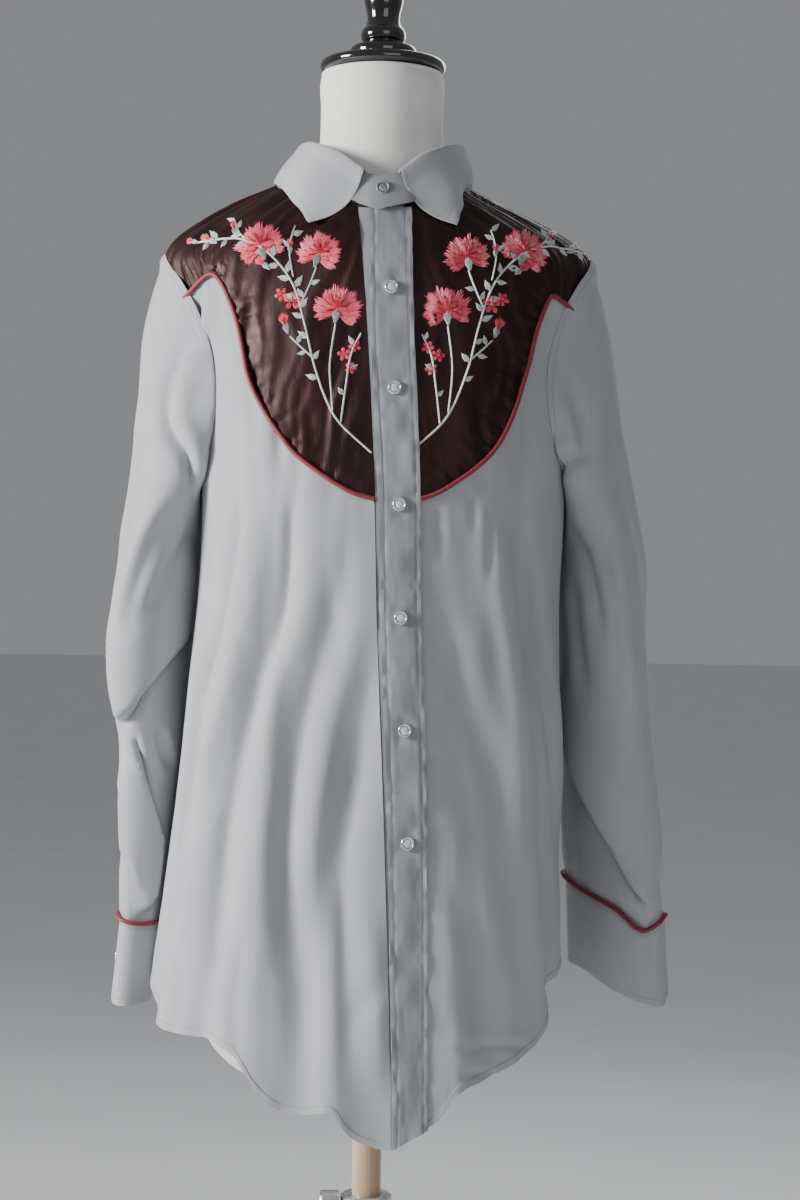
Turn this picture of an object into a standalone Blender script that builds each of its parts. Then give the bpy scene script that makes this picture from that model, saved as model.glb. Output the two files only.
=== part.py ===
"""Western snap shirt buttoned up on a limbless dress form with a pole stand.

Metres, +Z up. The origin is on the floor under the pole, the front faces -Y, and right and
left are the wearer's: the wearer's left is +X. Every piece of cloth is a thin wall on one
body surface, body_point(angle, height), or on the rings of a sleeve.
"""
import math

import bmesh
import bpy
import numpy as np
from mathutils import Vector

# ---------------------------------------------------------------- driving sizes
CLOTH = 0.0012                # wall of one layer of shirting
SEAM_GAP = 0.0003             # between neighbouring pieces
YOKE_GAP = 0.0012             # under the piping, where both edges of cloth turn in
BAND_CLOTH = 0.0020           # cuffs and the top strip: two layers and a stiffener
PIPING_RADIUS = 0.0021
PIPING_TRIM = {-1: (0.0010, 0.0250), 1: (0.0090, 0.0360)}    # off its ends, by side

ARMHOLE_MIDDLE = 1.2560       # height of the middle of the armhole
ARMHOLE_HEIGHT = 0.2020
ARMHOLE_REACH = 34.0          # degrees that it reaches forward and back of the side
SHOULDER_TIP = ARMHOLE_MIDDLE + ARMHOLE_HEIGHT / 2
NECK_FRONT = 1.3900           # height of the neckline at the front
NECK_BACK = 1.4360
BAND_FRONT_TOP = 1.4180       # top of the collar band at the front, and at the back
BAND_BACK_TOP = 1.4580
BAND_LIFT = 0.0024            # its foot above the edge of the neckline
COLLAR_SHIFT = 0.0015         # the worn collar sits a little to the wearer's left
COLLAR_LIE = 0.0052           # its edge above the body surface
COLLAR_ARCH = 0.0035          # how far its fall stands out between the roll and the edge
COLLAR_BOW = (0.0085, 0.0045, -0.0080)    # and how far its front edges bow in, out and down
COLLAR_BOW_START = 0.72       # the bow starts at this share of the way to the front edge
COLLAR_ROLL = 0.0016          # the fold's outer side beyond its middle line
BAND_START = math.radians(10.0)        # the collar band starts here, under its own end,
BAND_LAP = math.radians(24.0)          # and winds once round and this much more

POLE_RADIUS = 0.0130
POLE_FOOT = 0.1000
FORM_FOOT = 0.6120
FORM_TOP = 1.5240
COLUMN_RADIUS = 0.0165
COLUMN_BORE = 0.0136
COLUMN_TOP = 0.4900
BASE_RADIUS = 0.2100
BASE_THICK = 0.0120
LOCK_TOP = 0.5160
LOCK_RADIUS = 0.0230
LEVER_HEIGHT = 0.5070
LEVER_HUB = 0.0110
LEVER_HUB_LONG = 0.0180
HANDLE_SIZE = (0.0060, 0.0140, 0.0620)
HANDLE_OUT = 0.0120           # from the hub's foot to the middle of the handle
HANDLE_DROP = 0.0330          # from the hub's axis to the middle of the handle

# Level rings of the shirt's body: height, then the reach to the wearer's right and left, to
# the front and to the back, and the squareness of the ring, where 2 is an ellipse.
BODY_RINGS = np.array((
    # height  right   left    front   back    square
    (0.5600, 0.1985, 0.1720, 0.1370, 0.1190, 2.35),
    (0.6600, 0.1955, 0.1710, 0.1350, 0.1180, 2.35),
    (0.7000, 0.1936, 0.1705, 0.1340, 0.1170, 2.35),
    (0.7770, 0.1850, 0.1685, 0.1320, 0.1130, 2.35),
    (0.8300, 0.1792, 0.1670, 0.1310, 0.1110, 2.35),
    (0.8850, 0.1730, 0.1690, 0.1300, 0.1090, 2.30),
    (0.9400, 0.1675, 0.1675, 0.1290, 0.1070, 2.30),
    (0.9930, 0.1630, 0.1650, 0.1280, 0.1060, 2.30),
    (1.0470, 0.1575, 0.1640, 0.1270, 0.1060, 2.30),
    (1.1000, 0.1545, 0.1660, 0.1260, 0.1070, 2.30),
    (1.1550, 0.1550, 0.1680, 0.1240, 0.1080, 2.30),
    (1.2000, 0.1590, 0.1700, 0.1210, 0.1070, 2.25),
    (1.2500, 0.1680, 0.1750, 0.1150, 0.1030, 2.15),
    (1.3000, 0.1810, 0.1835, 0.1080, 0.0960, 2.05),
    (1.3300, 0.1890, 0.1895, 0.1030, 0.0900, 1.95),
    (1.3500, 0.1925, 0.1905, 0.0980, 0.0850, 1.85),
    (1.3656, 0.1860, 0.1805, 0.0915, 0.0810, 1.75),
    (1.3877, 0.1575, 0.1455, 0.0805, 0.0770, 1.65),
    (1.4053, 0.1250, 0.1080, 0.0740, 0.0740, 1.60),
    (1.4192, 0.0910, 0.0810, 0.0675, 0.0710, 1.70),
    (1.4270, 0.0760, 0.0725, 0.0640, 0.0680, 1.80),
    (1.4450, 0.0640, 0.0640, 0.0600, 0.0625, 1.90),
    (1.4600, 0.0600, 0.0600, 0.0590, 0.0600, 1.95)))

# The largest folds of the body. Angles are degrees from the front, positive to the wearer's
# left; a fold runs from its upper to its lower end and stands out, or in where it is negative.
FOLDS = np.array((
    # upper deg  lower deg  top     bottom  half width deg  out
    (-47.0, -76.0, 1.210, 0.640, 6.5, -0.0045),
    (-36.0, -66.0, 1.180, 0.620, 8.0, 0.0045),
    (-25.0, -46.0, 1.170, 0.600, 5.5, -0.0045),
    (-29.0, -30.0, 1.060, 0.600, 6.5, 0.0050),
    (-3.0, -15.0, 1.140, 0.560, 5.5, -0.0060),
    (-7.0, -5.0, 0.860, 0.540, 4.0, 0.0055),
    (11.0, 38.0, 1.120, 0.620, 6.0, -0.0045),
    (22.0, 24.0, 0.960, 0.560, 6.0, 0.0050),
    (38.0, 58.0, 1.180, 0.640, 7.0, 0.0055),
    (45.0, 73.0, 1.190, 0.660, 5.5, -0.0085),
    (104.0, 110.0, 1.130, 0.620, 8.0, -0.0050),
    (123.0, 132.0, 1.200, 0.580, 9.0, 0.0060),
    (148.0, 151.0, 1.090, 0.560, 8.0, -0.0055),
    (171.0, 172.0, 1.240, 0.560, 9.0, 0.0050),
    (-108.0, -112.0, 1.100, 0.600, 8.0, -0.0045),
    (-128.0, -135.0, 1.180, 0.580, 9.0, 0.0060),
    (-156.0, -156.0, 1.150, 0.560, 8.0, -0.0055)))

# The hem's height all round, from the wearer's right side through the front to the left,
# and on round the back: a shirt tail, wavy where it hangs in folds.
HEM = np.array((
    # degrees  height
    (-180.0, 0.6020), (-160.0, 0.6070), (-145.0, 0.6230), (-125.0, 0.6600), (-108.0, 0.6900),
    (-92.0, 0.7080), (-80.0, 0.6990), (-70.0, 0.6800), (-60.0, 0.6740), (-50.0, 0.6725),
    (-38.0, 0.6700), (-30.0, 0.6580), (-25.0, 0.6340), (-21.0, 0.6210), (-15.0, 0.6130),
    (-9.0, 0.6150), (-5.5, 0.6160), (-3.0, 0.6000), (0.0, 0.5900), (8.0, 0.5900),
    (12.0, 0.5990), (15.0, 0.6060), (18.5, 0.6150), (21.0, 0.6280), (25.0, 0.6370),
    (31.0, 0.6415), (40.0, 0.6490), (52.0, 0.6660), (61.0, 0.6880), (70.0, 0.7110),
    (80.0, 0.7220), (92.0, 0.7240), (108.0, 0.7000), (125.0, 0.6620), (145.0, 0.6230),
    (160.0, 0.6070), (180.0, 0.6020)))

# The front closure: where the wearer's right front ends, and the edges of the top strip.
PLACKET = np.array((
    # height  right front ends  strip from  strip to
    (0.5600, 0.0210, 0.0225, 0.0520),
    (0.6200, 0.0200, 0.0225, 0.0520),
    (0.7000, 0.0180, 0.0195, 0.0510),
    (0.8300, 0.0130, 0.0155, 0.0485),
    (0.9240, 0.0090, 0.0115, 0.0455),
    (1.0160, 0.0040, 0.0065, 0.0410),
    (1.1520, -0.0010, 0.0015, 0.0378),
    (1.2200, -0.0050, -0.0028, 0.0345),
    (1.2800, -0.0090, -0.0065, 0.0310),
    (1.3400, -0.0140, -0.0075, 0.0285),
    (1.3900, -0.0190, -0.0090, 0.0270)))
PLACKET_FOOT = 0.5940         # the closure's lines are drawn down to here
UNDER_LAP = 0.0060            # how far the left front reaches in under the top strip

# How finely the cloth is laid out.
GIRTH = 0.15                  # metres of cloth to a radian round the body, roughly
SEAM_STEPS = 60               # places along the yoke's seam before it is shared out
SEAM_LOW_CELLS = 8            # cells of the yoke's seam, from the closure up to its peak
SEAM_HIGH_CELLS = 4           # and from the peak on to the armhole
YOKE_ROWS = 7
FRONT_CELLS = 11              # across a front, and across half of the back
BACK_CELLS = 10
FRONT_HOLE_ROWS = 6           # rows beside the armhole on the front and on the back
BACK_HOLE_ROWS = 8
SIDE_ROWS = 10                # rows from the armpit to the hem
SLEEVE_TURNS = 20
CUFF_TURNS = 28
BAND_CELLS = (40, 2)          # along and down the collar band
SEAM_POINTS = 400             # places on a yoke's seam, and those of the cord along it
PIPING_POINTS = 28
COLLAR_CELLS = (30, 4)        # along the collar and down its fall
FORM_TURNS = 28
SIDE_GAP = SEAM_GAP / 0.16    # half a seam's gap as an angle at the side

# The seam between the velvet yoke and the grey front, from the closure to the armhole.
YOKE_SEAM_RIGHT = np.array((
    # sideways  height
    (-0.0010, 1.1351), (-0.0200, 1.1405), (-0.0430, 1.1541), (-0.0663, 1.1719),
    (-0.0790, 1.1870), (-0.0918, 1.2054), (-0.1036, 1.2267), (-0.1105, 1.2446),
    (-0.1150, 1.2660), (-0.1200, 1.2874), (-0.1285, 1.3101), (-0.1370, 1.3258),
    (-0.1440, 1.3310), (-0.1510, 1.3285), (-0.1630, 1.3180), (-0.1720, 1.3110)))
YOKE_SEAM_LEFT = np.array((
    # sideways  height
    (0.0375, 1.1340), (0.0520, 1.1395), (0.0649, 1.1476), (0.0866, 1.1643),
    (0.1039, 1.1843), (0.1169, 1.2128), (0.1245, 1.2384), (0.1300, 1.2584),
    (0.1350, 1.2812), (0.1415, 1.3012), (0.1490, 1.3165), (0.1600, 1.3125),
    (0.1690, 1.3060), (0.1765, 1.3000)))

# The turned-down collar, from its front edge round to the back: the roll at the top, and the
# outer edge lying on the body, which is higher on the wearer's left.
COLLAR = np.array((
    # roll deg  roll height  right edge deg  height  left edge deg  height
    (12.0, 1.4238, 23.0, 1.3725, 26.2, 1.3728),
    (32.0, 1.4410, 32.5, 1.3900, 34.0, 1.3890),
    (58.0, 1.4530, 53.0, 1.4095, 51.0, 1.4095),
    (90.0, 1.4575, 90.0, 1.4180, 90.0, 1.4205),
    (130.0, 1.4630, 132.0, 1.4140, 132.0, 1.4150),
    (180.0, 1.4680, 180.0, 1.4190, 180.0, 1.4190)))
COLLAR_INSET = 0.0022         # the collar starts just inside the band's top edge
BAND_RING = (0.0665, 0.0725, 0.0610)      # reach of the band's top to the sides, front, back
COLLAR_RING = (0.0705, 0.0790, 0.0665)    # reach of the roll to the sides, front and back

# Flattened rings of each sleeve below the armhole, and of its cuff. The long axis leans
# inwards to the back by the angle, and its far end is raised.
RIGHT_SLEEVE = np.array((
    # height  aside   back    half long  half thick  lean deg  raised
    (1.1000, 0.1900, 0.0300, 0.0800, 0.0340, 8.0, 0.0),
    (1.0350, 0.1965, 0.0340, 0.0780, 0.0340, 12.0, 0.0),
    (0.9780, 0.1990, 0.0380, 0.0740, 0.0350, 15.0, 0.0),
    (0.9530, 0.1965, 0.0420, 0.0710, 0.0335, 17.0, 0.0),
    (0.9260, 0.1915, 0.0470, 0.0690, 0.0300, 20.0, 0.0),
    (0.8800, 0.1900, 0.0520, 0.0660, 0.0270, 25.0, 0.0),
    (0.8200, 0.1900, 0.0560, 0.0620, 0.0240, 28.0, 0.0),
    (0.7850, 0.1910, 0.0580, 0.0590, 0.0225, 30.0, 0.0),
    (0.7640, 0.1925, 0.0580, 0.0560, 0.0200, 30.0, 0.0)))
RIGHT_CUFF = np.array((
    # height  aside   back    half long  half thick  lean deg  raised
    (0.7630, 0.1925, 0.0580, 0.0560, 0.0200, 30.0, 0.0),
    (0.7350, 0.1945, 0.0575, 0.0562, 0.0200, 30.0, 0.0),
    (0.7080, 0.1965, 0.0570, 0.0566, 0.0202, 30.0, 0.0),
    (0.6800, 0.1985, 0.0565, 0.0570, 0.0205, 30.0, 0.0)))
LEFT_SLEEVE = np.array((
    # height  aside   back    half long  half thick  lean deg  raised
    (1.1000, 0.2030, 0.0300, 0.0800, 0.0350, 6.0, 0.0),
    (1.0350, 0.2060, 0.0320, 0.0780, 0.0360, 8.0, 0.0),
    (0.9630, 0.2100, 0.0360, 0.0740, 0.0350, 13.0, 0.0),
    (0.8910, 0.2140, 0.0400, 0.0690, 0.0330, 20.0, 0.0),
    (0.8300, 0.2175, 0.0430, 0.0640, 0.0290, 29.0, 0.009),
    (0.8000, 0.2195, 0.0440, 0.0610, 0.0250, 35.0, 0.015),
    (0.7830, 0.2225, 0.0440, 0.0570, 0.0210, 40.0, 0.017)))
LEFT_CUFF = np.array((
    # height  aside   back    half long  half thick  lean deg  raised
    (0.7820, 0.2225, 0.0440, 0.0570, 0.0210, 40.0, 0.017),
    (0.7560, 0.2240, 0.0435, 0.0572, 0.0210, 40.0, 0.017),
    (0.7300, 0.2255, 0.0430, 0.0576, 0.0212, 40.0, 0.016),
    (0.7030, 0.2270, 0.0420, 0.0580, 0.0215, 40.0, 0.015)))
CAP_STEPS = (0.0, 0.10, 0.26, 0.46, 0.72)    # rings between the armhole and the first of those
CAP_BULGE = {-1: 0.0095, 1: 0.0050}          # how far the sleeve's head stands out
ARMHOLE_LAP = 0.0020                         # the sleeve's head over the armhole's edge
SLEEVE_CLEAR = 0.0040                        # sleeve to body
CUFF_CLEAR = 0.0085

# The dress form, as rings: height, half width, reach to the front and back, squareness.
FORM_RINGS = np.array((
    (0.6120, 0.0740, 0.0540, 0.0460, 2.2), (0.6145, 0.0860, 0.0640, 0.0560, 2.2),
    (0.6206, 0.1010, 0.0760, 0.0670, 2.2), (0.6330, 0.1230, 0.0910, 0.0810, 2.2),
    (0.6470, 0.1380, 0.1010, 0.0900, 2.2), (0.6660, 0.1490, 0.1080, 0.0970, 2.2),
    (0.7000, 0.1540, 0.1115, 0.1000, 2.2),
    (0.7800, 0.1470, 0.1080, 0.0960, 2.2), (0.8600, 0.1340, 0.1000, 0.0890, 2.2),
    (0.9400, 0.1210, 0.0940, 0.0830, 2.2), (1.0100, 0.1210, 0.0960, 0.0830, 2.2),
    (1.0900, 0.1320, 0.1040, 0.0880, 2.2), (1.1600, 0.1420, 0.1110, 0.0920, 2.2),
    (1.2200, 0.1490, 0.1110, 0.0930, 2.15), (1.2800, 0.1600, 0.1040, 0.0900, 2.1),
    (1.3200, 0.1700, 0.0970, 0.0850, 1.95), (1.3430, 0.1720, 0.0930, 0.0810, 1.85),
    (1.3600, 0.1660, 0.0885, 0.0780, 1.75), (1.3830, 0.1380, 0.0770, 0.0735, 1.65),
    (1.4010, 0.1030, 0.0700, 0.0700, 1.60), (1.4150, 0.0775, 0.0640, 0.0665, 1.70),
    (1.4240, 0.0660, 0.0600, 0.0640, 1.85), (1.4370, 0.0595, 0.0575, 0.0590, 2.0),
    (1.4560, 0.0560, 0.0560, 0.0560, 2.0), (1.4900, 0.0550, 0.0550, 0.0550, 2.0),
    (1.5190, 0.0545, 0.0545, 0.0545, 2.0), (1.5228, 0.0530, 0.0530, 0.0530, 2.0),
    (1.5240, 0.0490, 0.0490, 0.0490, 2.0)))

# Turned profiles down their outer sides: radius, height above the profile's own foot.
CAP_PROFILE = (
    (0.0, 0.0840), (0.0085, 0.0825), (0.0150, 0.0775), (0.0182, 0.0700), (0.0175, 0.0620),
    (0.0148, 0.0520), (0.0146, 0.0455), (0.0165, 0.0405), (0.0195, 0.0375), (0.0205, 0.0330),
    (0.0195, 0.0285), (0.0168, 0.0258), (0.0205, 0.0240), (0.0285, 0.0225), (0.0305, 0.0185),
    (0.0300, 0.0140), (0.0345, 0.0122), (0.0530, 0.0100), (0.0562, 0.0075), (0.0566, 0.0035),
    (0.0545, 0.0), (0.0, 0.0))
SNAP_PROFILE = (
    (0.0, 0.0024), (0.0030, 0.0022), (0.0042, 0.0017), (0.0048, 0.0026), (0.0057, 0.0022),
    (0.0060, 0.0010), (0.0054, 0.0), (0.0, 0.0))
BASE_PROFILE = (
    (0.0, 0.0300), (0.0240, 0.0300), (0.0300, 0.0260), (0.0330, 0.0160), (0.0450, 0.0120),
    (BASE_RADIUS - 0.004, 0.0110), (BASE_RADIUS, 0.0080), (BASE_RADIUS, 0.0015),
    (BASE_RADIUS - 0.002, 0.0), (0.0, 0.0))

SNAP_HEIGHTS = (1.3167, 1.2297, 1.1307, 1.0347, 0.9396, 0.8444)
BAND_SNAP_ANGLE = math.radians(1.5)
CUFF_SNAP_TURN = 3            # which of the CUFF_TURNS the cuff's snap is on


# ---------------------------------------------------------------- surfaces
def smooth_rows(table, at):
    """Each later column of the table at the given values of its first, as a smooth curve."""
    at = np.asarray(at, dtype=float)
    keys = table[:, 0]
    slopes = np.gradient(table[:, 1:], keys, axis=0)
    low = np.clip(np.searchsorted(keys, at) - 1, 0, len(keys) - 2)
    span = (keys[low + 1] - keys[low])[..., None]
    t = np.clip((at - keys[low])[..., None] / span, 0.0, 1.0)
    start, end = table[low, 1:], table[low + 1, 1:]
    return ((2 * t**3 - 3 * t**2 + 1) * start + (t**3 - 2 * t**2 + t) * span * slopes[low]
            + (3 * t**2 - 2 * t**3) * end + (t**3 - t**2) * span * slopes[low + 1])


def ease(value):
    """0 below 0, 1 above 1, and smooth between."""
    value = np.clip(value, 0.0, 1.0)
    return value * value * (3.0 - 2.0 * value)


def fold_out(degrees, height):
    """How far the folds move the body surface out at a place."""
    total = np.zeros(np.broadcast(degrees, height).shape)
    for upper, lower, top, bottom, half_width, out in FOLDS:
        along = np.clip((top - height) / (top - bottom), 0.0, 1.0)
        middle = upper + (lower - upper) * along
        aside = (degrees - middle + 180.0) % 360.0 - 180.0
        grown = ease((top - height) / (0.45 * (top - bottom)))
        total = total + out * grown * np.exp(-(aside / half_width) ** 2)
    return total


def body_skin(angle, height):
    """Inner face of the shirt's body: angle in radians from the front, to the wearer's left."""
    angle, height = np.broadcast_arrays(np.asarray(angle, float), np.asarray(height, float))
    ring = smooth_rows(BODY_RINGS, height)
    sine, cosine = np.sin(angle), np.cos(angle)
    aside = np.where(sine < 0.0, ring[..., 0], ring[..., 1])
    depth = np.where(cosine > 0.0, ring[..., 2], ring[..., 3])
    power = 2.0 / ring[..., 4]
    x = aside * np.sign(sine) * np.abs(sine) ** power
    y = -depth * np.sign(cosine) * np.abs(cosine) ** power
    away = np.stack((x / aside**2, y / depth**2), axis=-1)
    away /= np.linalg.norm(away, axis=-1, keepdims=True)
    out = fold_out(np.degrees(angle), height)
    return np.stack((x + away[..., 0] * out, y + away[..., 1] * out, height), axis=-1)


def body_point(angle, height, out=0.0):
    """A point of the body surface, moved out square to it."""
    angle, height = np.asarray(angle, float), np.asarray(height, float)
    turn, lift = 1e-3, 1e-4
    around = body_skin(angle + turn, height) - body_skin(angle - turn, height)
    upward = body_skin(angle, height + lift) - body_skin(angle, height - lift)
    normal = np.cross(around, upward)
    normal /= np.linalg.norm(normal, axis=-1, keepdims=True)
    return body_skin(angle, height) + normal * np.asarray(out)[..., None]


def angle_at(x, height):
    """The angle on the front of the body at a sideways place."""
    x, height = np.asarray(x, float), np.asarray(height, float)
    ring = smooth_rows(BODY_RINGS, height)
    aside = np.where(x < 0.0, ring[..., 0], ring[..., 1])
    share = np.clip(np.abs(x) / aside, 0.0, 1.0) ** (ring[..., 4] / 2.0)
    return np.sign(x) * np.arcsin(share)


def clear_of_body(points, clearance):
    """Points moved sideways until they are clear of the body surface."""
    ring = smooth_rows(BODY_RINGS, points[..., 2])
    aside = np.where(points[..., 0] < 0.0, ring[..., 0], ring[..., 1])
    depth = np.where(points[..., 1] < 0.0, ring[..., 2], ring[..., 3])
    square = ring[..., 4]
    angle = np.arctan2(points[..., 0] / aside, -points[..., 1] / depth)
    grow = clearance + np.maximum(fold_out(np.degrees(angle), points[..., 2]), 0.0)
    reach = (np.abs(points[..., 0] / (aside + grow)) ** square
             + np.abs(points[..., 1] / (depth + grow)) ** square) ** (1.0 / square)
    scale = np.where(reach < 1.0, 1.0 / np.maximum(reach, 0.3), 1.0)
    moved = points.copy()
    moved[..., 0] *= scale
    moved[..., 1] *= scale
    return moved


# ---------------------------------------------------------------- seams on the body
def neck_height(angle):
    rise = ((1.0 - np.cos(angle)) / 2.0) ** 0.42
    return NECK_FRONT + (NECK_BACK - NECK_FRONT) * rise


def armhole(turn, side, front):
    """Angle and height on the armhole: turn 0 at the shoulder tip, pi at the armpit."""
    reach = math.radians(ARMHOLE_REACH) * (-1.0 if front else 1.0)
    angle = side * (math.pi / 2 + reach * np.sin(turn))
    return np.stack((angle, ARMHOLE_MIDDLE + ARMHOLE_HEIGHT / 2 * np.cos(turn)), axis=-1)


def even(points, count):
    """A polyline of angles and heights, shared out evenly by its length on the cloth."""
    points = np.asarray(points, dtype=float)
    scaled = points * (GIRTH, 1.0)
    steps = np.linalg.norm(np.diff(scaled, axis=0), axis=1)
    run = np.concatenate(((0.0,), np.cumsum(steps)))
    at = np.linspace(0.0, run[-1], count)
    return np.stack([np.interp(at, run, points[:, k]) for k in range(2)], axis=-1)


def closure_line(column, top, bottom, shift, count=40):
    """Angles and heights down one of the placket's lines."""
    heights = np.linspace(top, bottom, count)
    across = smooth_rows(PLACKET, heights)[:, column] + shift
    return np.stack((angle_at(across, heights), heights), axis=-1)


def front_edge(side, top, bottom):
    """Where a front ends at the closure; the left one reaches in under the top strip."""
    if side < 0:
        return closure_line(0, top, bottom, -SEAM_GAP / 2)
    return closure_line(2, top, bottom, -UNDER_LAP + SEAM_GAP / 2)


def yoke_seam(side, lowered):
    """Angles and heights at the corners that both sides of the yoke's seam share."""
    table = YOKE_SEAM_RIGHT if side < 0 else YOKE_SEAM_LEFT
    run = np.linspace(0.0, 1.0, len(table))
    line = smooth_rows(np.column_stack((run, table)), np.linspace(0.0, 1.0, SEAM_STEPS))
    seam = np.stack((angle_at(line[:, 0], line[:, 1]), line[:, 1]), axis=-1)
    start = front_edge(side, line[0, 1], line[0, 1] - 0.001)[0]
    seam[:, 0] += (start[0] - seam[0, 0]) * np.linspace(1.0, 0.0, SEAM_STEPS) ** 6
    peak = int(np.argmax(seam[:, 1]))
    corners = np.concatenate((even(seam[:peak + 1], SEAM_LOW_CELLS + 1),
                              even(seam[peak:], SEAM_HIGH_CELLS + 1)[1:]))
    tangent = np.gradient(corners * (GIRTH, 1.0), axis=0)
    tangent /= np.linalg.norm(tangent, axis=1, keepdims=True)
    across = np.stack((tangent[:, 1] * side / GIRTH, -tangent[:, 0] * side), axis=-1)
    return corners + across * lowered


def armhole_turn_at(height):
    return math.acos((height - ARMHOLE_MIDDLE) / (ARMHOLE_HEIGHT / 2))


def hem_line(first, last, count=60):
    angles = np.linspace(first, last, count)
    return np.stack((angles, smooth_rows(HEM, np.degrees(angles))[:, 0]), axis=-1)


def coons(top, bottom, first, last):
    """A patch between four edges; the last one sets the rows, and the others are shared out."""
    across, down = len(top) - 1, len(last) - 1
    bottom = bottom if len(bottom) == across + 1 else even(bottom, across + 1)
    first = first if len(first) == down + 1 else even(first, down + 1)
    u = np.linspace(0.0, 1.0, across + 1)[None, :, None]
    v = np.linspace(0.0, 1.0, down + 1)[:, None, None]
    corners = ((1 - u) * (1 - v) * top[0] + u * (1 - v) * top[-1]
               + (1 - u) * v * bottom[0] + u * v * bottom[-1])
    return ((1 - v) * top[None] + v * bottom[None]
            + (1 - u) * first[:, None] + u * last[:, None] - corners)


# ---------------------------------------------------------------- panels as patches
def side_seam(angle, foot):
    """The side seam below the armpit, the same on the front and the back."""
    heights = np.linspace(ARMHOLE_MIDDLE - ARMHOLE_HEIGHT / 2, foot, SIDE_ROWS + 1)[1:]
    return np.stack((np.full(SIDE_ROWS, angle), heights), axis=-1)


def yoke_patch(side):
    """Between the neckline and shoulder seam above and the piped seam below."""
    seam = yoke_seam(side, -YOKE_GAP / 2)
    neck_start = front_edge(side, NECK_FRONT, NECK_FRONT - 0.001)[0, 0]
    quarter = side * (math.pi / 2 - SIDE_GAP)
    neck = np.linspace(neck_start, quarter, 24)
    neckline = np.stack((neck, neck_height(neck)), axis=-1)
    shoulder_heights = np.linspace(neckline[-1, 1], SHOULDER_TIP, 12)[1:]
    shoulder = np.stack((np.full(11, quarter), shoulder_heights), axis=-1)
    top = np.concatenate((neckline, shoulder))
    edge = front_edge(side, neckline[0, 1], seam[0, 1])
    tip = armhole(np.linspace(0.02, armhole_turn_at(seam[-1, 1]), 10), side, True)
    seam[-1] = tip[-1]
    top = even(top, len(seam))
    return coons(top, seam, edge, even(tip, YOKE_ROWS + 1))


def front_patch(side):
    """The grey front: its inner edge runs down the piped seam and then the closure."""
    seam = yoke_seam(side, YOKE_GAP / 2)
    turns = np.linspace(armhole_turn_at(seam[-1, 1]) + 0.004, math.pi, FRONT_HOLE_ROWS + 1)
    hole = armhole(turns, side, True)
    seam[-1] = hole[0]
    edge = front_edge(side, seam[0, 1], PLACKET_FOOT - 0.002)
    hem = hem_line(edge[-1, 0], side * (math.pi / 2 - SIDE_GAP))
    edge[-1] = hem[0]
    outer = np.concatenate((hole, side_seam(side * (math.pi / 2 - SIDE_GAP), hem[-1, 1])))
    inner = seam[SEAM_LOW_CELLS::-1]
    below = even(edge, len(outer) - len(inner) + 1)[1:]
    top = even(seam[SEAM_LOW_CELLS:], FRONT_CELLS + 1)
    return coons(top, hem, np.concatenate((inner, below)), outer)


def back_patch(side):
    """Half of the back, from its middle to one side."""
    quarter = side * (math.pi / 2 + SIDE_GAP)
    neck = np.linspace(side * math.pi, quarter, 24)
    neckline = np.stack((neck, neck_height(neck)), axis=-1)
    shoulder_heights = np.linspace(neckline[-1, 1], SHOULDER_TIP, 12)[1:]
    shoulder = np.stack((np.full(11, quarter), shoulder_heights), axis=-1)
    hole = armhole(np.linspace(0.02, math.pi, BACK_HOLE_ROWS + 1), side, False)
    hem = hem_line(side * math.pi, quarter)
    outer = np.concatenate((hole, side_seam(quarter, hem[-1, 1])))
    middle = np.stack((np.full(20, side * math.pi),
                       np.linspace(neckline[0, 1], hem[0, 1], 20)), axis=-1)
    top = even(np.concatenate((neckline, shoulder)), BACK_CELLS + 1)
    return coons(top, hem, middle, outer)


def strip_patch(first_column, first_shift, last_column, last_shift, top, across, down):
    """A placket strip between two of the closure's lines, ended by the hem."""
    edges = []
    for column, shift in ((first_column, first_shift), (last_column, last_shift)):
        line = closure_line(column, top, PLACKET_FOOT, shift)
        bottom = smooth_rows(HEM, np.degrees(line[-1, 0]))[0] - 0.001
        edges.append(even(closure_line(column, top, bottom, shift), down + 1))
    u = np.linspace(0.0, 1.0, across + 1)[None, :, None]
    return (1 - u) * edges[0][:, None] + u * edges[1][:, None]


# ---------------------------------------------------------------- sleeves, collar, form
def flat_ring(row, side, turns):
    """One ring of a sleeve: turn 0 on the outside, a quarter at the front, half inside."""
    height, aside, back, half_long, half_thick, lean, raised = row
    lean = math.radians(lean)
    along = np.array((-math.sin(lean) * side, math.cos(lean)))
    outward = np.array((math.cos(lean) * side, math.sin(lean)))
    run, thick = -np.sin(turns), np.cos(turns)
    flat = (np.array((aside * side, back)) + run[:, None] * half_long * along
            + thick[:, None] * half_thick * outward)
    return np.column_stack((flat, height + raised * run))


def armhole_ring(side, turns, out):
    """The sleeve's first ring, lying on the edge of the armhole."""
    wrapped = np.mod(turns, 2 * math.pi)
    front = wrapped <= math.pi
    place = np.where(front[:, None], armhole(wrapped, side, True),
                     armhole(2 * math.pi - wrapped, side, False))
    return body_point(place[:, 0], place[:, 1], out)


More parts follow.
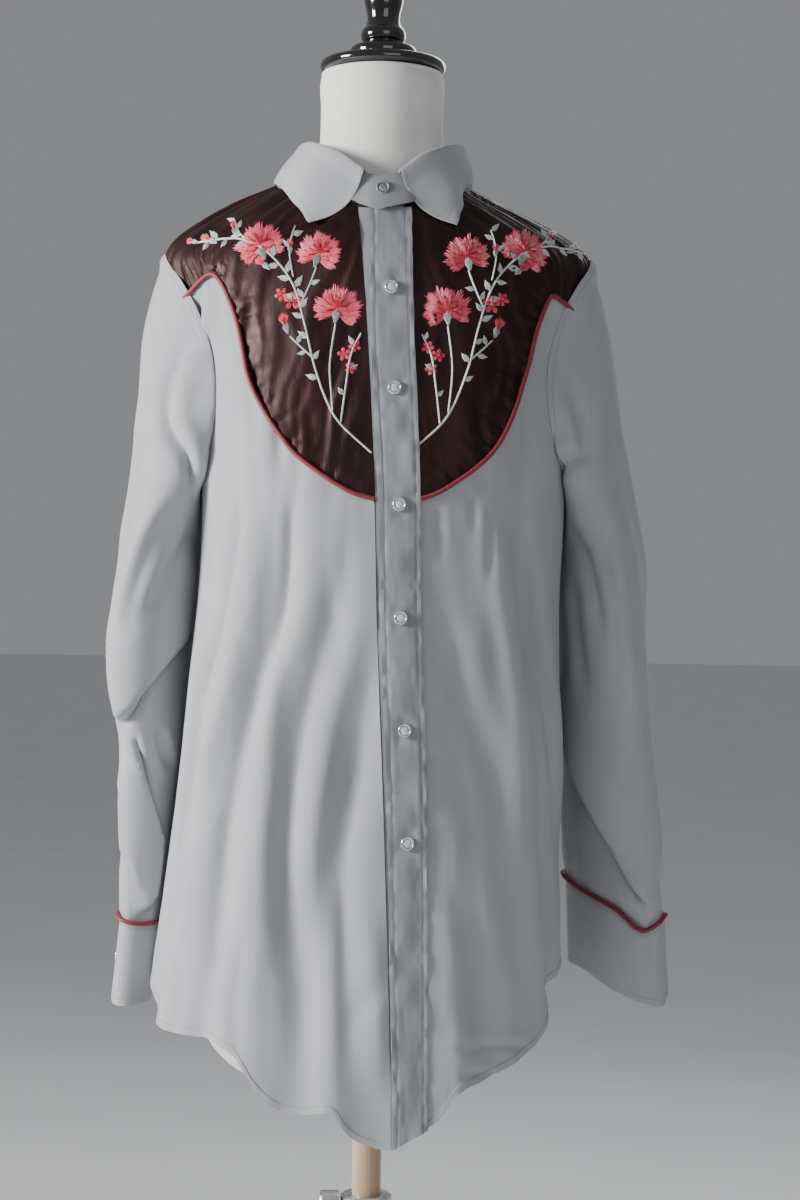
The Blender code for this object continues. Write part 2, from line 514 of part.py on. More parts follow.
def sleeve_rings(side, around):
    """Points of a sleeve's inner face, ring by ring from the armhole down."""
    table = RIGHT_SLEEVE if side < 0 else LEFT_SLEEVE
    turns = np.linspace(0.0, 2 * math.pi, around, endpoint=False)
    hole = armhole_ring(side, turns, CLOTH + ARMHOLE_LAP)
    first = flat_ring(table[0], side, turns)
    rings = []
    for step in CAP_STEPS:
        ring = hole + (first - hole) * step
        swell = CAP_BULGE[side] * math.sin(math.pi * min(step / 0.6, 1.0))
        ring[:, 0] += side * swell * np.maximum(np.cos(turns), 0.0)
        rings.append(ring)
    rings += [flat_ring(row, side, turns) for row in table]
    clearances = np.linspace(SLEEVE_CLEAR, CUFF_CLEAR, len(rings) - 1)
    return [rings[0]] + [clear_of_body(r, c) for r, c in zip(rings[1:], clearances)]


def cuff_rings(side, around):
    table = RIGHT_CUFF if side < 0 else LEFT_CUFF
    turns = np.linspace(0.0, 2 * math.pi, around, endpoint=False)
    return [clear_of_body(flat_ring(row, side, turns), CUFF_CLEAR) for row in table]


def ring_outward(ring):
    """Level unit vectors out of a closed ring of points."""
    around = np.roll(ring, -1, axis=0) - np.roll(ring, 1, axis=0)
    across = np.stack((around[:, 1], -around[:, 0], np.zeros(len(ring))), axis=-1)
    across /= np.linalg.norm(across, axis=1, keepdims=True)
    middle = ring.mean(axis=0)
    facing = np.sign(np.sum(across * (ring - middle), axis=1).mean())
    return across * facing


def neck_ring(angle, sides, front, back):
    """A level oval round the neck: x and y."""
    depth = np.where(np.cos(angle) > 0.0, front, back)
    return np.stack((sides * np.sin(angle) + COLLAR_SHIFT, -depth * np.cos(angle)), axis=-1)


def band_top(angle):
    rise = ((1.0 - np.cos(angle)) / 2.0) ** 0.6
    return BAND_FRONT_TOP + (BAND_BACK_TOP - BAND_FRONT_TOP) * rise


def band_rows(around, down):
    """The collar band: it winds once round and laps over its own end at the front."""
    share = np.linspace(0.0, 1.0, around + 1)
    angle = BAND_START - share * (2 * math.pi + BAND_LAP)
    lap = 0.0030 * ease((share - 0.80) / 0.14) + SEAM_GAP
    foot = body_point(angle, neck_height(angle) + BAND_LIFT, lap)
    top = neck_ring(angle, *BAND_RING)
    outward = top / np.linalg.norm(top, axis=1, keepdims=True)
    top = np.column_stack((top + outward * lap[:, None], band_top(angle)))
    rise = np.linspace(1.0, 0.0, down + 1)
    return [foot + (top - foot) * step for step in rise]


def collar_rows(along, fall):
    """The turned-down collar: up from the band's top to the roll, and down to its edge."""
    share = np.linspace(-1.0, 1.0, along + 1)
    turn = np.abs(share)
    rank = np.linspace(1.0, 0.0, len(COLLAR))
    table = np.column_stack((rank, COLLAR))[::-1]
    roll_angle, roll_height, *edges = smooth_rows(table, turn).T
    facing = np.where(share < 0.0, -1.0, 1.0)
    roll_angle = np.radians(roll_angle) * facing
    edge_angle = np.radians(np.where(share < 0.0, edges[0], edges[2])) * facing
    edge_height = np.where(share < 0.0, edges[1], edges[3])
    roll = np.column_stack((neck_ring(roll_angle, *COLLAR_RING), roll_height))
    edge = body_point(edge_angle, edge_height, COLLAR_LIE)
    under = neck_ring(roll_angle, *(reach - COLLAR_INSET for reach in BAND_RING))
    inside = np.column_stack((under, band_top(roll_angle) + 3 * SEAM_GAP))
    outward = np.column_stack((np.sin(roll_angle), -np.cos(roll_angle), np.zeros(along + 1)))
    rows = [inside, roll + outward * -0.0020 + (0.0, 0.0, -0.0012), roll + outward * COLLAR_ROLL]
    aside, out, down = COLLAR_BOW
    share_of_bow = ease((turn - COLLAR_BOW_START) / (1.0 - COLLAR_BOW_START))[:, None]
    bow = share_of_bow * np.column_stack(
        (-facing * aside, np.full(along + 1, out), np.full(along + 1, down)))
    for step in np.linspace(0.0, 1.0, fall + 1)[1:]:
        bend = COLLAR_ARCH * math.sin(math.pi * step) ** 0.7 * outward
        bend = bend + math.sin(math.pi * step) * bow
        rows.append(rows[2] + (edge - rows[2]) * step + bend)
    return rows


# ---------------------------------------------------------------- building
def empty_scene():
    for obj in list(bpy.data.objects):
        bpy.data.objects.remove(obj, do_unlink=True)


def material(name, colour, roughness, metallic=0.0):
    made = bpy.data.materials.new(name)
    made.use_nodes = True
    shader = made.node_tree.nodes["Principled BSDF"]
    shader.inputs["Base Color"].default_value = (*colour, 1.0)
    shader.inputs["Roughness"].default_value = roughness
    shader.inputs["Metallic"].default_value = metallic
    return made


def add_object(name, data, finish, parent):
    obj = bpy.data.objects.new(name, data)
    collection.objects.link(obj)
    data.materials.append(finish)
    obj.parent = parent
    return obj


def loft_mesh(name, rows, closed):
    """A mesh through rows of points; a closed one joins each row's end to its start."""
    rows = [np.asarray(row) for row in rows]
    width = len(rows[0])
    columns = range(width if closed else width - 1)
    faces = []
    for i in range(len(rows) - 1):
        for j in columns:
            k = (j + 1) % width
            faces.append((i * width + j, (i + 1) * width + j,
                          (i + 1) * width + k, i * width + k))
    mesh = bpy.data.meshes.new(name)
    mesh.from_pydata([tuple(p) for p in np.concatenate(rows)], [], faces)
    mesh.shade_smooth()
    return mesh


def shell(name, rows, thickness, finish, parent, closed=False, flip=False):
    """A cloth wall: an open loft, thickened outwards from its inner face."""
    mesh = loft_mesh(name, rows, closed)
    if flip:
        mesh.flip_normals()
    obj = add_object(name, mesh, finish, parent)
    wall = obj.modifiers.new("Wall", "SOLIDIFY")
    wall.thickness = thickness
    wall.offset = 1.0
    return obj


def panel(name, patch, out, thickness, finish, parent, flip=False):
    """A cloth piece that lies on the body surface."""
    rows = body_point(patch[..., 0], patch[..., 1], out)
    return shell(name, list(rows), thickness, finish, parent, flip=flip)


def tube(name, points, radius, finish, parent, closed=False):
    """A round cord through points, as a bevelled poly curve."""
    curve = bpy.data.curves.new(name, "CURVE")
    curve.dimensions = "3D"
    spline = curve.splines.new("POLY")
    spline.points.add(len(points) - 1)
    for point, place in zip(spline.points, points):
        point.co = (*place, 1.0)
    spline.use_cyclic_u = closed
    curve.bevel_depth = radius
    curve.bevel_resolution = 1
    curve.use_fill_caps = not closed
    return add_object(name, curve, finish, parent)


def turned(name, profile, steps, finish, parent, place=(0.0, 0.0, 0.0), facing=None):
    """A turned piece: its profile runs down the outer side."""
    mesh = bpy.data.meshes.new(name)
    points = [(radius, 0.0, height) for radius, height in profile]
    mesh.from_pydata(points, [(i, i + 1) for i in range(len(points) - 1)], [])
    obj = add_object(name, mesh, finish, parent)
    obj.location = place
    if facing is not None:
        obj.rotation_mode = "QUATERNION"
        obj.rotation_quaternion = facing.to_track_quat("Z", "Y")
    screw = obj.modifiers.new("Turn", "SCREW")
    screw.steps = steps
    screw.render_steps = steps
    screw.use_merge_vertices = True
    screw.merge_threshold = 0.00001
    screw.use_smooth_shade = True
    return obj


def make_body(cloth, velvet, body):
    for side, name in ((-1, "right"), (1, "left")):
        panel("yoke_" + name, yoke_patch(side), 0.0, CLOTH, velvet, body, side < 0)
        panel("front_" + name, front_patch(side), 0.0, CLOTH, cloth, body, side < 0)
    right_half = back_patch(-1)
    left_half = back_patch(1)
    right_half[..., 0] += 2 * math.pi
    whole = np.concatenate((left_half[:, ::-1], right_half[:, 1:]), axis=1)
    panel("back", whole, 0.0, CLOTH, cloth, body)


def make_plackets(cloth, body):
    lap_end = -UNDER_LAP - SEAM_GAP / 2
    under = strip_patch(0, 2 * SEAM_GAP, 2, lap_end, NECK_FRONT - 0.0006, 2, 24)
    panel("placket_right", under, 0.0, CLOTH, cloth, body)
    top = strip_patch(1, 0.0, 2, 0.0, NECK_FRONT - 0.0008, 3, 26)
    panel("placket_left", top, CLOTH + 3 * SEAM_GAP, BAND_CLOTH, cloth, body)


def piped_line(side, count):
    """Points along the yoke's seam, from the closure to the armhole, trimmed for the cord."""
    seam = even(yoke_seam(side, 0.0), SEAM_POINTS)
    run = np.concatenate(((0.0,), np.cumsum(
        np.linalg.norm(np.diff(seam * (GIRTH, 1.0), axis=0), axis=1))))
    start, end = PIPING_TRIM[side]
    at = np.linspace(start, run[-1] - end, count)
    angle, height = (np.interp(at, run, seam[:, k]) for k in range(2))
    return body_point(angle, height, CLOTH + SEAM_GAP + PIPING_RADIUS)


def make_piping(cord, body):
    for side, name in ((-1, "right"), (1, "left")):
        line = piped_line(side, PIPING_POINTS)
        tube("yoke_piping_" + name, line, PIPING_RADIUS, cord, body)
        top = cuff_rings(side, CUFF_TURNS)[0]
        lifted = top + ring_outward(top) * (BAND_CLOTH + SEAM_GAP + PIPING_RADIUS)
        tube("cuff_piping_" + name, lifted, PIPING_RADIUS, cord, body, closed=True)


def make_sleeves(cloth, body):
    for side, name in ((-1, "right"), (1, "left")):
        sleeve = sleeve_rings(side, SLEEVE_TURNS)
        cuff = cuff_rings(side, CUFF_TURNS)
        shell("sleeve_" + name, sleeve, CLOTH, cloth, body, True, side > 0)
        shell("cuff_" + name, cuff, BAND_CLOTH, cloth, body, True, side > 0)


def make_collar(cloth, body):
    shell("collar_band", band_rows(*BAND_CELLS), CLOTH, cloth, body, flip=True)
    shell("collar", collar_rows(*COLLAR_CELLS), CLOTH, cloth, body)


def add_snap(name, inner, outward, out, finish, body):
    """A domed snap standing on the cloth's outer face."""
    facing = Vector(outward).normalized()
    place = Vector(inner) + facing * (out + SEAM_GAP)
    return turned(name, SNAP_PROFILE, 16, finish, body, place, facing)


def make_snaps(finish, body):
    out = CLOTH + 3 * SEAM_GAP + BAND_CLOTH
    for number, height in enumerate(SNAP_HEIGHTS, 1):
        edges = smooth_rows(PLACKET, height)
        angle = angle_at((edges[1] + edges[2]) / 2, height)
        foot = body_point(angle, height)
        outward = body_point(angle, height, 1.0) - foot
        add_snap(f"snap_{number}", foot, outward, out, finish, body)
    share = (BAND_START + 2 * math.pi - BAND_SNAP_ANGLE) / (2 * math.pi + BAND_LAP)
    places = np.linspace(0.0, 1.0, BAND_CELLS[0] + 1)
    top, middle, foot = (np.array([np.interp(share, places, row[:, k]) for k in range(3)])
                         for row in band_rows(*BAND_CELLS))
    add_snap("snap_band", middle, np.cross((1.0, 0.0, 0.0), top - foot), CLOTH, finish, body)
    for side, name in ((-1, "right"), (1, "left")):
        rings = cuff_rings(side, CUFF_TURNS)
        middle = (rings[1] + rings[2])[CUFF_SNAP_TURN] / 2
        outward = ring_outward(rings[1])[CUFF_SNAP_TURN]
        add_snap("cuff_snap_" + name, middle, outward, BAND_CLOTH + SEAM_GAP, finish, body)


def make_form(linen, gloss, body):
    turns = np.linspace(0.0, 2 * math.pi, FORM_TURNS, endpoint=False)
    rows = []
    for height, aside, front, back, square in FORM_RINGS:
        depth = np.where(np.cos(turns) > 0.0, front, back)
        power = 2.0 / square
        x = aside * np.sign(np.sin(turns)) * np.abs(np.sin(turns)) ** power
        y = -depth * np.sign(np.cos(turns)) * np.abs(np.cos(turns)) ** power
        rows.append(np.column_stack((x, y, np.full(FORM_TURNS, height))))
    mesh = loft_mesh("form", rows[::-1], True)
    add_ends(mesh, FORM_TURNS, len(rows))
    add_object("form", mesh, linen, body)
    turned("neck_cap", CAP_PROFILE, 32, gloss, body, (0.0, 0.0, FORM_TOP + SEAM_GAP))


def add_ends(mesh, width, count):
    """Close a loft of rings with a flat face at its first and last ring."""
    work = bmesh.new()
    work.from_mesh(mesh)
    work.verts.ensure_lookup_table()
    first = list(work.verts)[:width]
    last = list(work.verts)[(count - 1) * width:]
    for ring in (first, last):
        work.faces.new(ring)
    bmesh.ops.recalc_face_normals(work, faces=work.faces)
    work.to_mesh(mesh)
    work.free()


def ring_profile(outer, bore, foot, top, edge):
    """A tube's closed profile with eased outer edges."""
    return ((bore, top), (outer - edge, top), (outer, top - edge), (outer, foot + edge),
            (outer - edge, foot), (bore, foot), (bore, top))


def make_stand(wood, steel, enamel, pole_body, lever_body):
    pole = ((0.0, FORM_FOOT - SEAM_GAP), (POLE_RADIUS, FORM_FOOT - SEAM_GAP),
            (POLE_RADIUS, POLE_FOOT + 0.002), (POLE_RADIUS - 0.002, POLE_FOOT),
            (0.0, POLE_FOOT))
    turned("pole", pole, 28, wood, pole_body)
    turned("base", BASE_PROFILE, 48, enamel, None)
    foot = BASE_PROFILE[0][1] + SEAM_GAP
    column = ring_profile(COLUMN_RADIUS, COLUMN_BORE, foot, COLUMN_TOP, 0.001)
    turned("column", column, 32, enamel, None)
    lock = ring_profile(LOCK_RADIUS, COLUMN_BORE, COLUMN_TOP + SEAM_GAP, LOCK_TOP, 0.002)
    turned("lock_collar", lock, 32, steel, None)
    make_lever(steel, lever_body)


def make_lever(steel, lever_body):
    """A clamp screw's hub with a flat handle, turning about the X axis."""
    hub = ((0.0, LEVER_HUB_LONG), (LEVER_HUB - 0.001, LEVER_HUB_LONG),
           (LEVER_HUB, LEVER_HUB_LONG - 0.0015),
           (LEVER_HUB, 0.0015), (LEVER_HUB - 0.001, 0.0), (0.0, 0.0))
    lever = turned("lock_lever", hub, 24, steel, lever_body)
    lever.rotation_mode = "QUATERNION"
    lever.rotation_quaternion = Vector((-1.0, 0.0, 0.0)).to_track_quat("Z", "Y")
    bpy.ops.mesh.primitive_cube_add(size=1.0)
    handle = bpy.context.active_object
    handle.name = "lever_handle"
    handle.scale = HANDLE_SIZE
    handle.location = (lever_body.location.x - HANDLE_OUT, 0.0, LEVER_HEIGHT - HANDLE_DROP)
    handle.data.materials.append(steel)
    for owner in list(handle.users_collection):
        owner.objects.unlink(handle)
    cutters.objects.link(handle)
    handle.hide_render = True
    handle.display_type = "WIRE"
    join = lever.modifiers.new("Handle", "BOOLEAN")
    join.operation = "UNION"
    join.object = handle


def make_all():
    cloth = material("grey shirting", (0.400, 0.415, 0.440), 0.85)
    velvet = material("brown velvet", (0.030, 0.012, 0.014), 0.75)
    cord = material("crimson piping", (0.300, 0.020, 0.035), 0.70)
    pearl = material("pearl snap", (0.760, 0.770, 0.780), 0.25)
    linen = material("form cover", (0.780, 0.760, 0.720), 0.80)
    gloss = material("black lacquer", (0.008, 0.008, 0.009), 0.12)
    wood = material("pale wood", (0.560, 0.410, 0.270), 0.50)
    steel = material("bright steel", (0.600, 0.600, 0.600), 0.25, 1.0)
    enamel = material("black enamel", (0.015, 0.015, 0.016), 0.35)
    pole_axis = add_axis("pole_axis", (0.0, 0.0, 0.0), None)
    form_axis = add_axis("form_axis", (0.0, 0.0, 0.0), pole_axis)
    lever_axis = add_axis("lever_axis", (-LOCK_RADIUS - SEAM_GAP, 0.0, LEVER_HEIGHT), None)
    make_body(cloth, velvet, form_axis)
    make_plackets(cloth, form_axis)
    make_piping(cord, form_axis)
    make_sleeves(cloth, form_axis)
    make_collar(cloth, form_axis)
    make_snaps(pearl, form_axis)
    make_form(linen, gloss, form_axis)
    make_stand(wood, steel, enamel, pole_axis, lever_axis)


def add_axis(name, place, parent):
    """An empty on a joint's axis, which carries the pieces that move with it."""
    axis = bpy.data.objects.new(name, None)
    collection.objects.link(axis)
    axis.location = place
    axis.parent = parent
    return axis


empty_scene()
collection = bpy.data.collections.new("western snap shirt on a dress form")
cutters = bpy.data.collections.new("cutters")
bpy.context.scene.collection.children.link(collection)
bpy.context.scene.collection.children.link(cutters)
make_all()
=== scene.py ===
"""Looks of the western snap shirt and its dress form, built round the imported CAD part.

Every cloth piece is a thin two-faced wall on the same surface as its CAD solid, with its
creases, seams and small relief added; the piping, snaps, stitches and embroidery lie on it.
"""
import math

import bpy
import numpy as np
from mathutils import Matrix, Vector


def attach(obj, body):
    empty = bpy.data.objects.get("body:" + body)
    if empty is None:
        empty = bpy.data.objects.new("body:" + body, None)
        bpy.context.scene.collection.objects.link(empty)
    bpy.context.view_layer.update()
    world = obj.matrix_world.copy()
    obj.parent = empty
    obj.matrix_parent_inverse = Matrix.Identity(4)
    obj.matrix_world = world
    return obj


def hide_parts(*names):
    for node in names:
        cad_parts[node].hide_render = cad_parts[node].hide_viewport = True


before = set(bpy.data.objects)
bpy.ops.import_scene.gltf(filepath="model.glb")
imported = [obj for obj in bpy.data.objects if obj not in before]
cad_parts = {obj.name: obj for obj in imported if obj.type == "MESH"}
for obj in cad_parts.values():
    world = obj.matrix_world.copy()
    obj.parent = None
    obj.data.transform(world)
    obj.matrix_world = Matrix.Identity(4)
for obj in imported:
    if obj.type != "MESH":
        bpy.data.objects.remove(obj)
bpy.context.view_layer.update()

# ---------------------------------------------------------------- driving sizes
CLOTH = 0.0012                # wall of one layer of shirting
SEAM_GAP = 0.0003             # between neighbouring pieces
YOKE_GAP = 0.0006             # under the piping, where both edges of cloth turn in
BAND_CLOTH = 0.0020           # cuffs and the top strip: two layers and a stiffener
PIPING_RADIUS = 0.0021

ARMHOLE_MIDDLE = 1.2560       # height of the middle of the armhole
ARMHOLE_HEIGHT = 0.2020
ARMHOLE_REACH = 34.0          # degrees that it reaches forward and back of the side
SHOULDER_TIP = ARMHOLE_MIDDLE + ARMHOLE_HEIGHT / 2
NECK_FRONT = 1.3900           # height of the neckline at the front
NECK_BACK = 1.4360
BAND_FRONT_TOP = 1.4180       # top of the collar band at the front, and at the back
BAND_BACK_TOP = 1.4580
BAND_LIFT = 0.0024            # its foot above the edge of the neckline
COLLAR_SHIFT = 0.0015         # the worn collar sits a little to the wearer's left
COLLAR_LIE = 0.0052           # its edge above the body surface
COLLAR_ARCH = 0.0035          # how far its fall stands out between the roll and the edge
COLLAR_BOW = (0.0085, 0.0045, -0.0080)    # and how far its front edges bow in, out and down
COLLAR_BOW_START = 0.72       # the bow starts at this share of the way to the front edge
COLLAR_ROLL = 0.0016          # the fold's outer side beyond its middle line
BAND_START = math.radians(10.0)        # the collar band starts here, under its own end,
BAND_LAP = math.radians(24.0)          # and winds once round and this much more

FORM_TOP = 1.5240

# Level rings of the shirt's body: height, then the reach to the wearer's right and left, to
# the front and to the back, and the squareness of the ring, where 2 is an ellipse.
BODY_RINGS = np.array((
    # height  right   left    front   back    square
    (0.5600, 0.1985, 0.1720, 0.1370, 0.1190, 2.35),
    (0.6600, 0.1955, 0.1710, 0.1350, 0.1180, 2.35),
    (0.7000, 0.1936, 0.1705, 0.1340, 0.1170, 2.35),
    (0.7770, 0.1850, 0.1685, 0.1320, 0.1130, 2.35),
    (0.8300, 0.1792, 0.1670, 0.1310, 0.1110, 2.35),
    (0.8850, 0.1730, 0.1690, 0.1300, 0.1090, 2.30),
    (0.9400, 0.1675, 0.1675, 0.1290, 0.1070, 2.30),
    (0.9930, 0.1630, 0.1650, 0.1280, 0.1060, 2.30),
    (1.0470, 0.1575, 0.1640, 0.1270, 0.1060, 2.30),
    (1.1000, 0.1545, 0.1660, 0.1260, 0.1070, 2.30),
    (1.1550, 0.1550, 0.1680, 0.1240, 0.1080, 2.30),
    (1.2000, 0.1590, 0.1700, 0.1210, 0.1070, 2.25),
    (1.2500, 0.1680, 0.1750, 0.1150, 0.1030, 2.15),
    (1.3000, 0.1810, 0.1835, 0.1080, 0.0960, 2.05),
    (1.3300, 0.1890, 0.1895, 0.1030, 0.0900, 1.95),
    (1.3500, 0.1925, 0.1905, 0.0980, 0.0850, 1.85),
    (1.3656, 0.1860, 0.1805, 0.0915, 0.0810, 1.75),
    (1.3877, 0.1575, 0.1455, 0.0805, 0.0770, 1.65),
    (1.4053, 0.1250, 0.1080, 0.0740, 0.0740, 1.60),
    (1.4192, 0.0910, 0.0810, 0.0675, 0.0710, 1.70),
    (1.4270, 0.0760, 0.0725, 0.0640, 0.0680, 1.80),
    (1.4450, 0.0640, 0.0640, 0.0600, 0.0625, 1.90),
    (1.4600, 0.0600, 0.0600, 0.0590, 0.0600, 1.95)))

# The largest folds of the body. Angles are degrees from the front, positive to the wearer's
# left; a fold runs from its upper to its lower end and stands out, or in where it is negative.
FOLDS = np.array((
    # upper deg  lower deg  top     bottom  half width deg  out
    (-47.0, -76.0, 1.210, 0.640, 6.5, -0.0045),
    (-36.0, -66.0, 1.180, 0.620, 8.0, 0.0045),
    (-25.0, -46.0, 1.170, 0.600, 5.5, -0.0045),
    (-29.0, -30.0, 1.060, 0.600, 6.5, 0.0050),
    (-3.0, -15.0, 1.140, 0.560, 5.5, -0.0060),
    (-7.0, -5.0, 0.860, 0.540, 4.0, 0.0055),
    (11.0, 38.0, 1.120, 0.620, 6.0, -0.0045),
    (22.0, 24.0, 0.960, 0.560, 6.0, 0.0050),
    (38.0, 58.0, 1.180, 0.640, 7.0, 0.0055),
    (45.0, 73.0, 1.190, 0.660, 5.5, -0.0085),
    (104.0, 110.0, 1.130, 0.620, 8.0, -0.0050),
    (123.0, 132.0, 1.200, 0.580, 9.0, 0.0060),
    (148.0, 151.0, 1.090, 0.560, 8.0, -0.0055),
    (171.0, 172.0, 1.240, 0.560, 9.0, 0.0050),
    (-108.0, -112.0, 1.100, 0.600, 8.0, -0.0045),
    (-128.0, -135.0, 1.180, 0.580, 9.0, 0.0060),
    (-156.0, -156.0, 1.150, 0.560, 8.0, -0.0055)))

# The hem's height all round, from the wearer's right side through the front to the left,
# and on round the back: a shirt tail, wavy where it hangs in folds.
HEM = np.array((
    # degrees  height
    (-180.0, 0.6020), (-160.0, 0.6070), (-145.0, 0.6230), (-125.0, 0.6600), (-108.0, 0.6900),
    (-92.0, 0.7080), (-80.0, 0.6990), (-70.0, 0.6800), (-60.0, 0.6740), (-50.0, 0.6725),
    (-38.0, 0.6700), (-30.0, 0.6580), (-25.0, 0.6340), (-21.0, 0.6210), (-15.0, 0.6130),
    (-9.0, 0.6150), (-5.5, 0.6160), (-3.0, 0.6000), (0.0, 0.5900), (8.0, 0.5900),
    (12.0, 0.5990), (15.0, 0.6060), (18.5, 0.6150), (21.0, 0.6280), (25.0, 0.6370),
    (31.0, 0.6415), (40.0, 0.6490), (52.0, 0.6660), (61.0, 0.6880), (70.0, 0.7110),
    (80.0, 0.7220), (92.0, 0.7240), (108.0, 0.7000), (125.0, 0.6620), (145.0, 0.6230),
    (160.0, 0.6070), (180.0, 0.6020)))

# The front closure: where the wearer's right front ends, and the edges of the top strip.
PLACKET = np.array((
    # height  right front ends  strip from  strip to
    (0.5600, 0.0210, 0.0225, 0.0520),
    (0.6200, 0.0200, 0.0225, 0.0520),
    (0.7000, 0.0180, 0.0195, 0.0510),
    (0.8300, 0.0130, 0.0155, 0.0485),
    (0.9240, 0.0090, 0.0115, 0.0455),
    (1.0160, 0.0040, 0.0065, 0.0410),
    (1.1520, -0.0010, 0.0015, 0.0378),
    (1.2200, -0.0050, -0.0028, 0.0345),
    (1.2800, -0.0090, -0.0065, 0.0310),
    (1.3400, -0.0140, -0.0075, 0.0285),
    (1.3900, -0.0190, -0.0090, 0.0270)))
PLACKET_FOOT = 0.5940         # the closure's lines are drawn down to here
UNDER_LAP = 0.0060            # how far the left front reaches in under the top strip

# How finely the cloth is laid out.
GIRTH = 0.15                  # metres of cloth to a radian round the body, roughly
SEAM_STEPS = 400              # places along the yoke's seam before it is shared out
SEAM_LOW_CELLS = 88           # cells of the yoke's seam, from the closure up to its peak
SEAM_HIGH_CELLS = 44          # and from the peak on to the armhole
YOKE_ROWS = 84
FRONT_CELLS = 80              # across a front, and across half of the back
BACK_CELLS = 84
FRONT_HOLE_ROWS = 66          # rows beside the armhole on the front and on the back
BACK_HOLE_ROWS = 80
SIDE_ROWS = 110               # rows from the armpit to the hem
SLEEVE_TURNS = 110
CUFF_TURNS = 140
BAND_CELLS = (160, 8)         # along and down the collar band
COLLAR_CELLS = (180, 4)       # along the collar and down its fall
FORM_TURNS = 96
SIDE_GAP = SEAM_GAP / 0.16    # half a seam's gap as an angle at the side

# The seam between the velvet yoke and the grey front, from the closure to the armhole.
YOKE_SEAM_RIGHT = np.array((
    # sideways  height
    (-0.0010, 1.1351), (-0.0200, 1.1405), (-0.0430, 1.1541), (-0.0663, 1.1719),
    (-0.0790, 1.1870), (-0.0918, 1.2054), (-0.1036, 1.2267), (-0.1105, 1.2446),
    (-0.1150, 1.2660), (-0.1200, 1.2874), (-0.1285, 1.3101), (-0.1370, 1.3258),
    (-0.1440, 1.3310), (-0.1510, 1.3285), (-0.1630, 1.3180), (-0.1720, 1.3110)))
YOKE_SEAM_LEFT = np.array((
    # sideways  height
    (0.0375, 1.1340), (0.0520, 1.1395), (0.0649, 1.1476), (0.0866, 1.1643),
    (0.1039, 1.1843), (0.1169, 1.2128), (0.1245, 1.2384), (0.1300, 1.2584),
    (0.1350, 1.2812), (0.1415, 1.3012), (0.1490, 1.3165), (0.1600, 1.3125),
    (0.1690, 1.3060), (0.1765, 1.3000)))

# The turned-down collar, from its front edge round to the back: the roll at the top, and the
# outer edge lying on the body, which is higher on the wearer's left.
COLLAR = np.array((
    # roll deg  roll height  right edge deg  height  left edge deg  height
    (12.0, 1.4238, 23.0, 1.3725, 26.2, 1.3728),
    (32.0, 1.4410, 32.5, 1.3900, 34.0, 1.3890),
    (58.0, 1.4530, 53.0, 1.4095, 51.0, 1.4095),
    (90.0, 1.4575, 90.0, 1.4180, 90.0, 1.4205),
    (130.0, 1.4630, 132.0, 1.4140, 132.0, 1.4150),
    (180.0, 1.4680, 180.0, 1.4190, 180.0, 1.4190)))
COLLAR_INSET = 0.0022         # the collar starts just inside the band's top edge
BAND_RING = (0.0665, 0.0725, 0.0610)      # reach of the band's top to the sides, front, back
COLLAR_RING = (0.0705, 0.0790, 0.0665)    # reach of the roll to the sides, front and back

# Flattened rings of each sleeve below the armhole, and of its cuff. The long axis leans
# inwards to the back by the angle, and its far end is raised.
RIGHT_SLEEVE = np.array((
    # height  aside   back    half long  half thick  lean deg  raised
    (1.1000, 0.1900, 0.0300, 0.0800, 0.0340, 8.0, 0.0),
    (1.0350, 0.1965, 0.0340, 0.0780, 0.0340, 12.0, 0.0),
    (0.9780, 0.1990, 0.0380, 0.0740, 0.0350, 15.0, 0.0),
    (0.9530, 0.1965, 0.0420, 0.0710, 0.0335, 17.0, 0.0),
    (0.9260, 0.1915, 0.0470, 0.0690, 0.0300, 20.0, 0.0),
    (0.8800, 0.1900, 0.0520, 0.0660, 0.0270, 25.0, 0.0),
    (0.8200, 0.1900, 0.0560, 0.0620, 0.0240, 28.0, 0.0),
    (0.7850, 0.1910, 0.0580, 0.0590, 0.0225, 30.0, 0.0),
    (0.7640, 0.1925, 0.0580, 0.0560, 0.0200, 30.0, 0.0)))
RIGHT_CUFF = np.array((
    # height  aside   back    half long  half thick  lean deg  raised
    (0.7630, 0.1925, 0.0580, 0.0560, 0.0200, 30.0, 0.0),
    (0.7350, 0.1945, 0.0575, 0.0562, 0.0200, 30.0, 0.0),
    (0.7080, 0.1965, 0.0570, 0.0566, 0.0202, 30.0, 0.0),
    (0.6800, 0.1985, 0.0565, 0.0570, 0.0205, 30.0, 0.0)))
LEFT_SLEEVE = np.array((
    # height  aside   back    half long  half thick  lean deg  raised
    (1.1000, 0.2030, 0.0300, 0.0800, 0.0350, 6.0, 0.0),
    (1.0350, 0.2060, 0.0320, 0.0780, 0.0360, 8.0, 0.0),
    (0.9630, 0.2100, 0.0360, 0.0740, 0.0350, 13.0, 0.0),
    (0.8910, 0.2140, 0.0400, 0.0690, 0.0330, 20.0, 0.0),
    (0.8300, 0.2175, 0.0430, 0.0640, 0.0290, 29.0, 0.009),
    (0.8000, 0.2195, 0.0440, 0.0610, 0.0250, 35.0, 0.015),
    (0.7830, 0.2225, 0.0440, 0.0570, 0.0210, 40.0, 0.017)))
LEFT_CUFF = np.array((
    # height  aside   back    half long  half thick  lean deg  raised
    (0.7820, 0.2225, 0.0440, 0.0570, 0.0210, 40.0, 0.017),
    (0.7560, 0.2240, 0.0435, 0.0572, 0.0210, 40.0, 0.017),
    (0.7300, 0.2255, 0.0430, 0.0576, 0.0212, 40.0, 0.016),
    (0.7030, 0.2270, 0.0420, 0.0580, 0.0215, 40.0, 0.015)))
CAP_STEPS = (0.0, 0.10, 0.26, 0.46, 0.72)    # rings between the armhole and the first of those
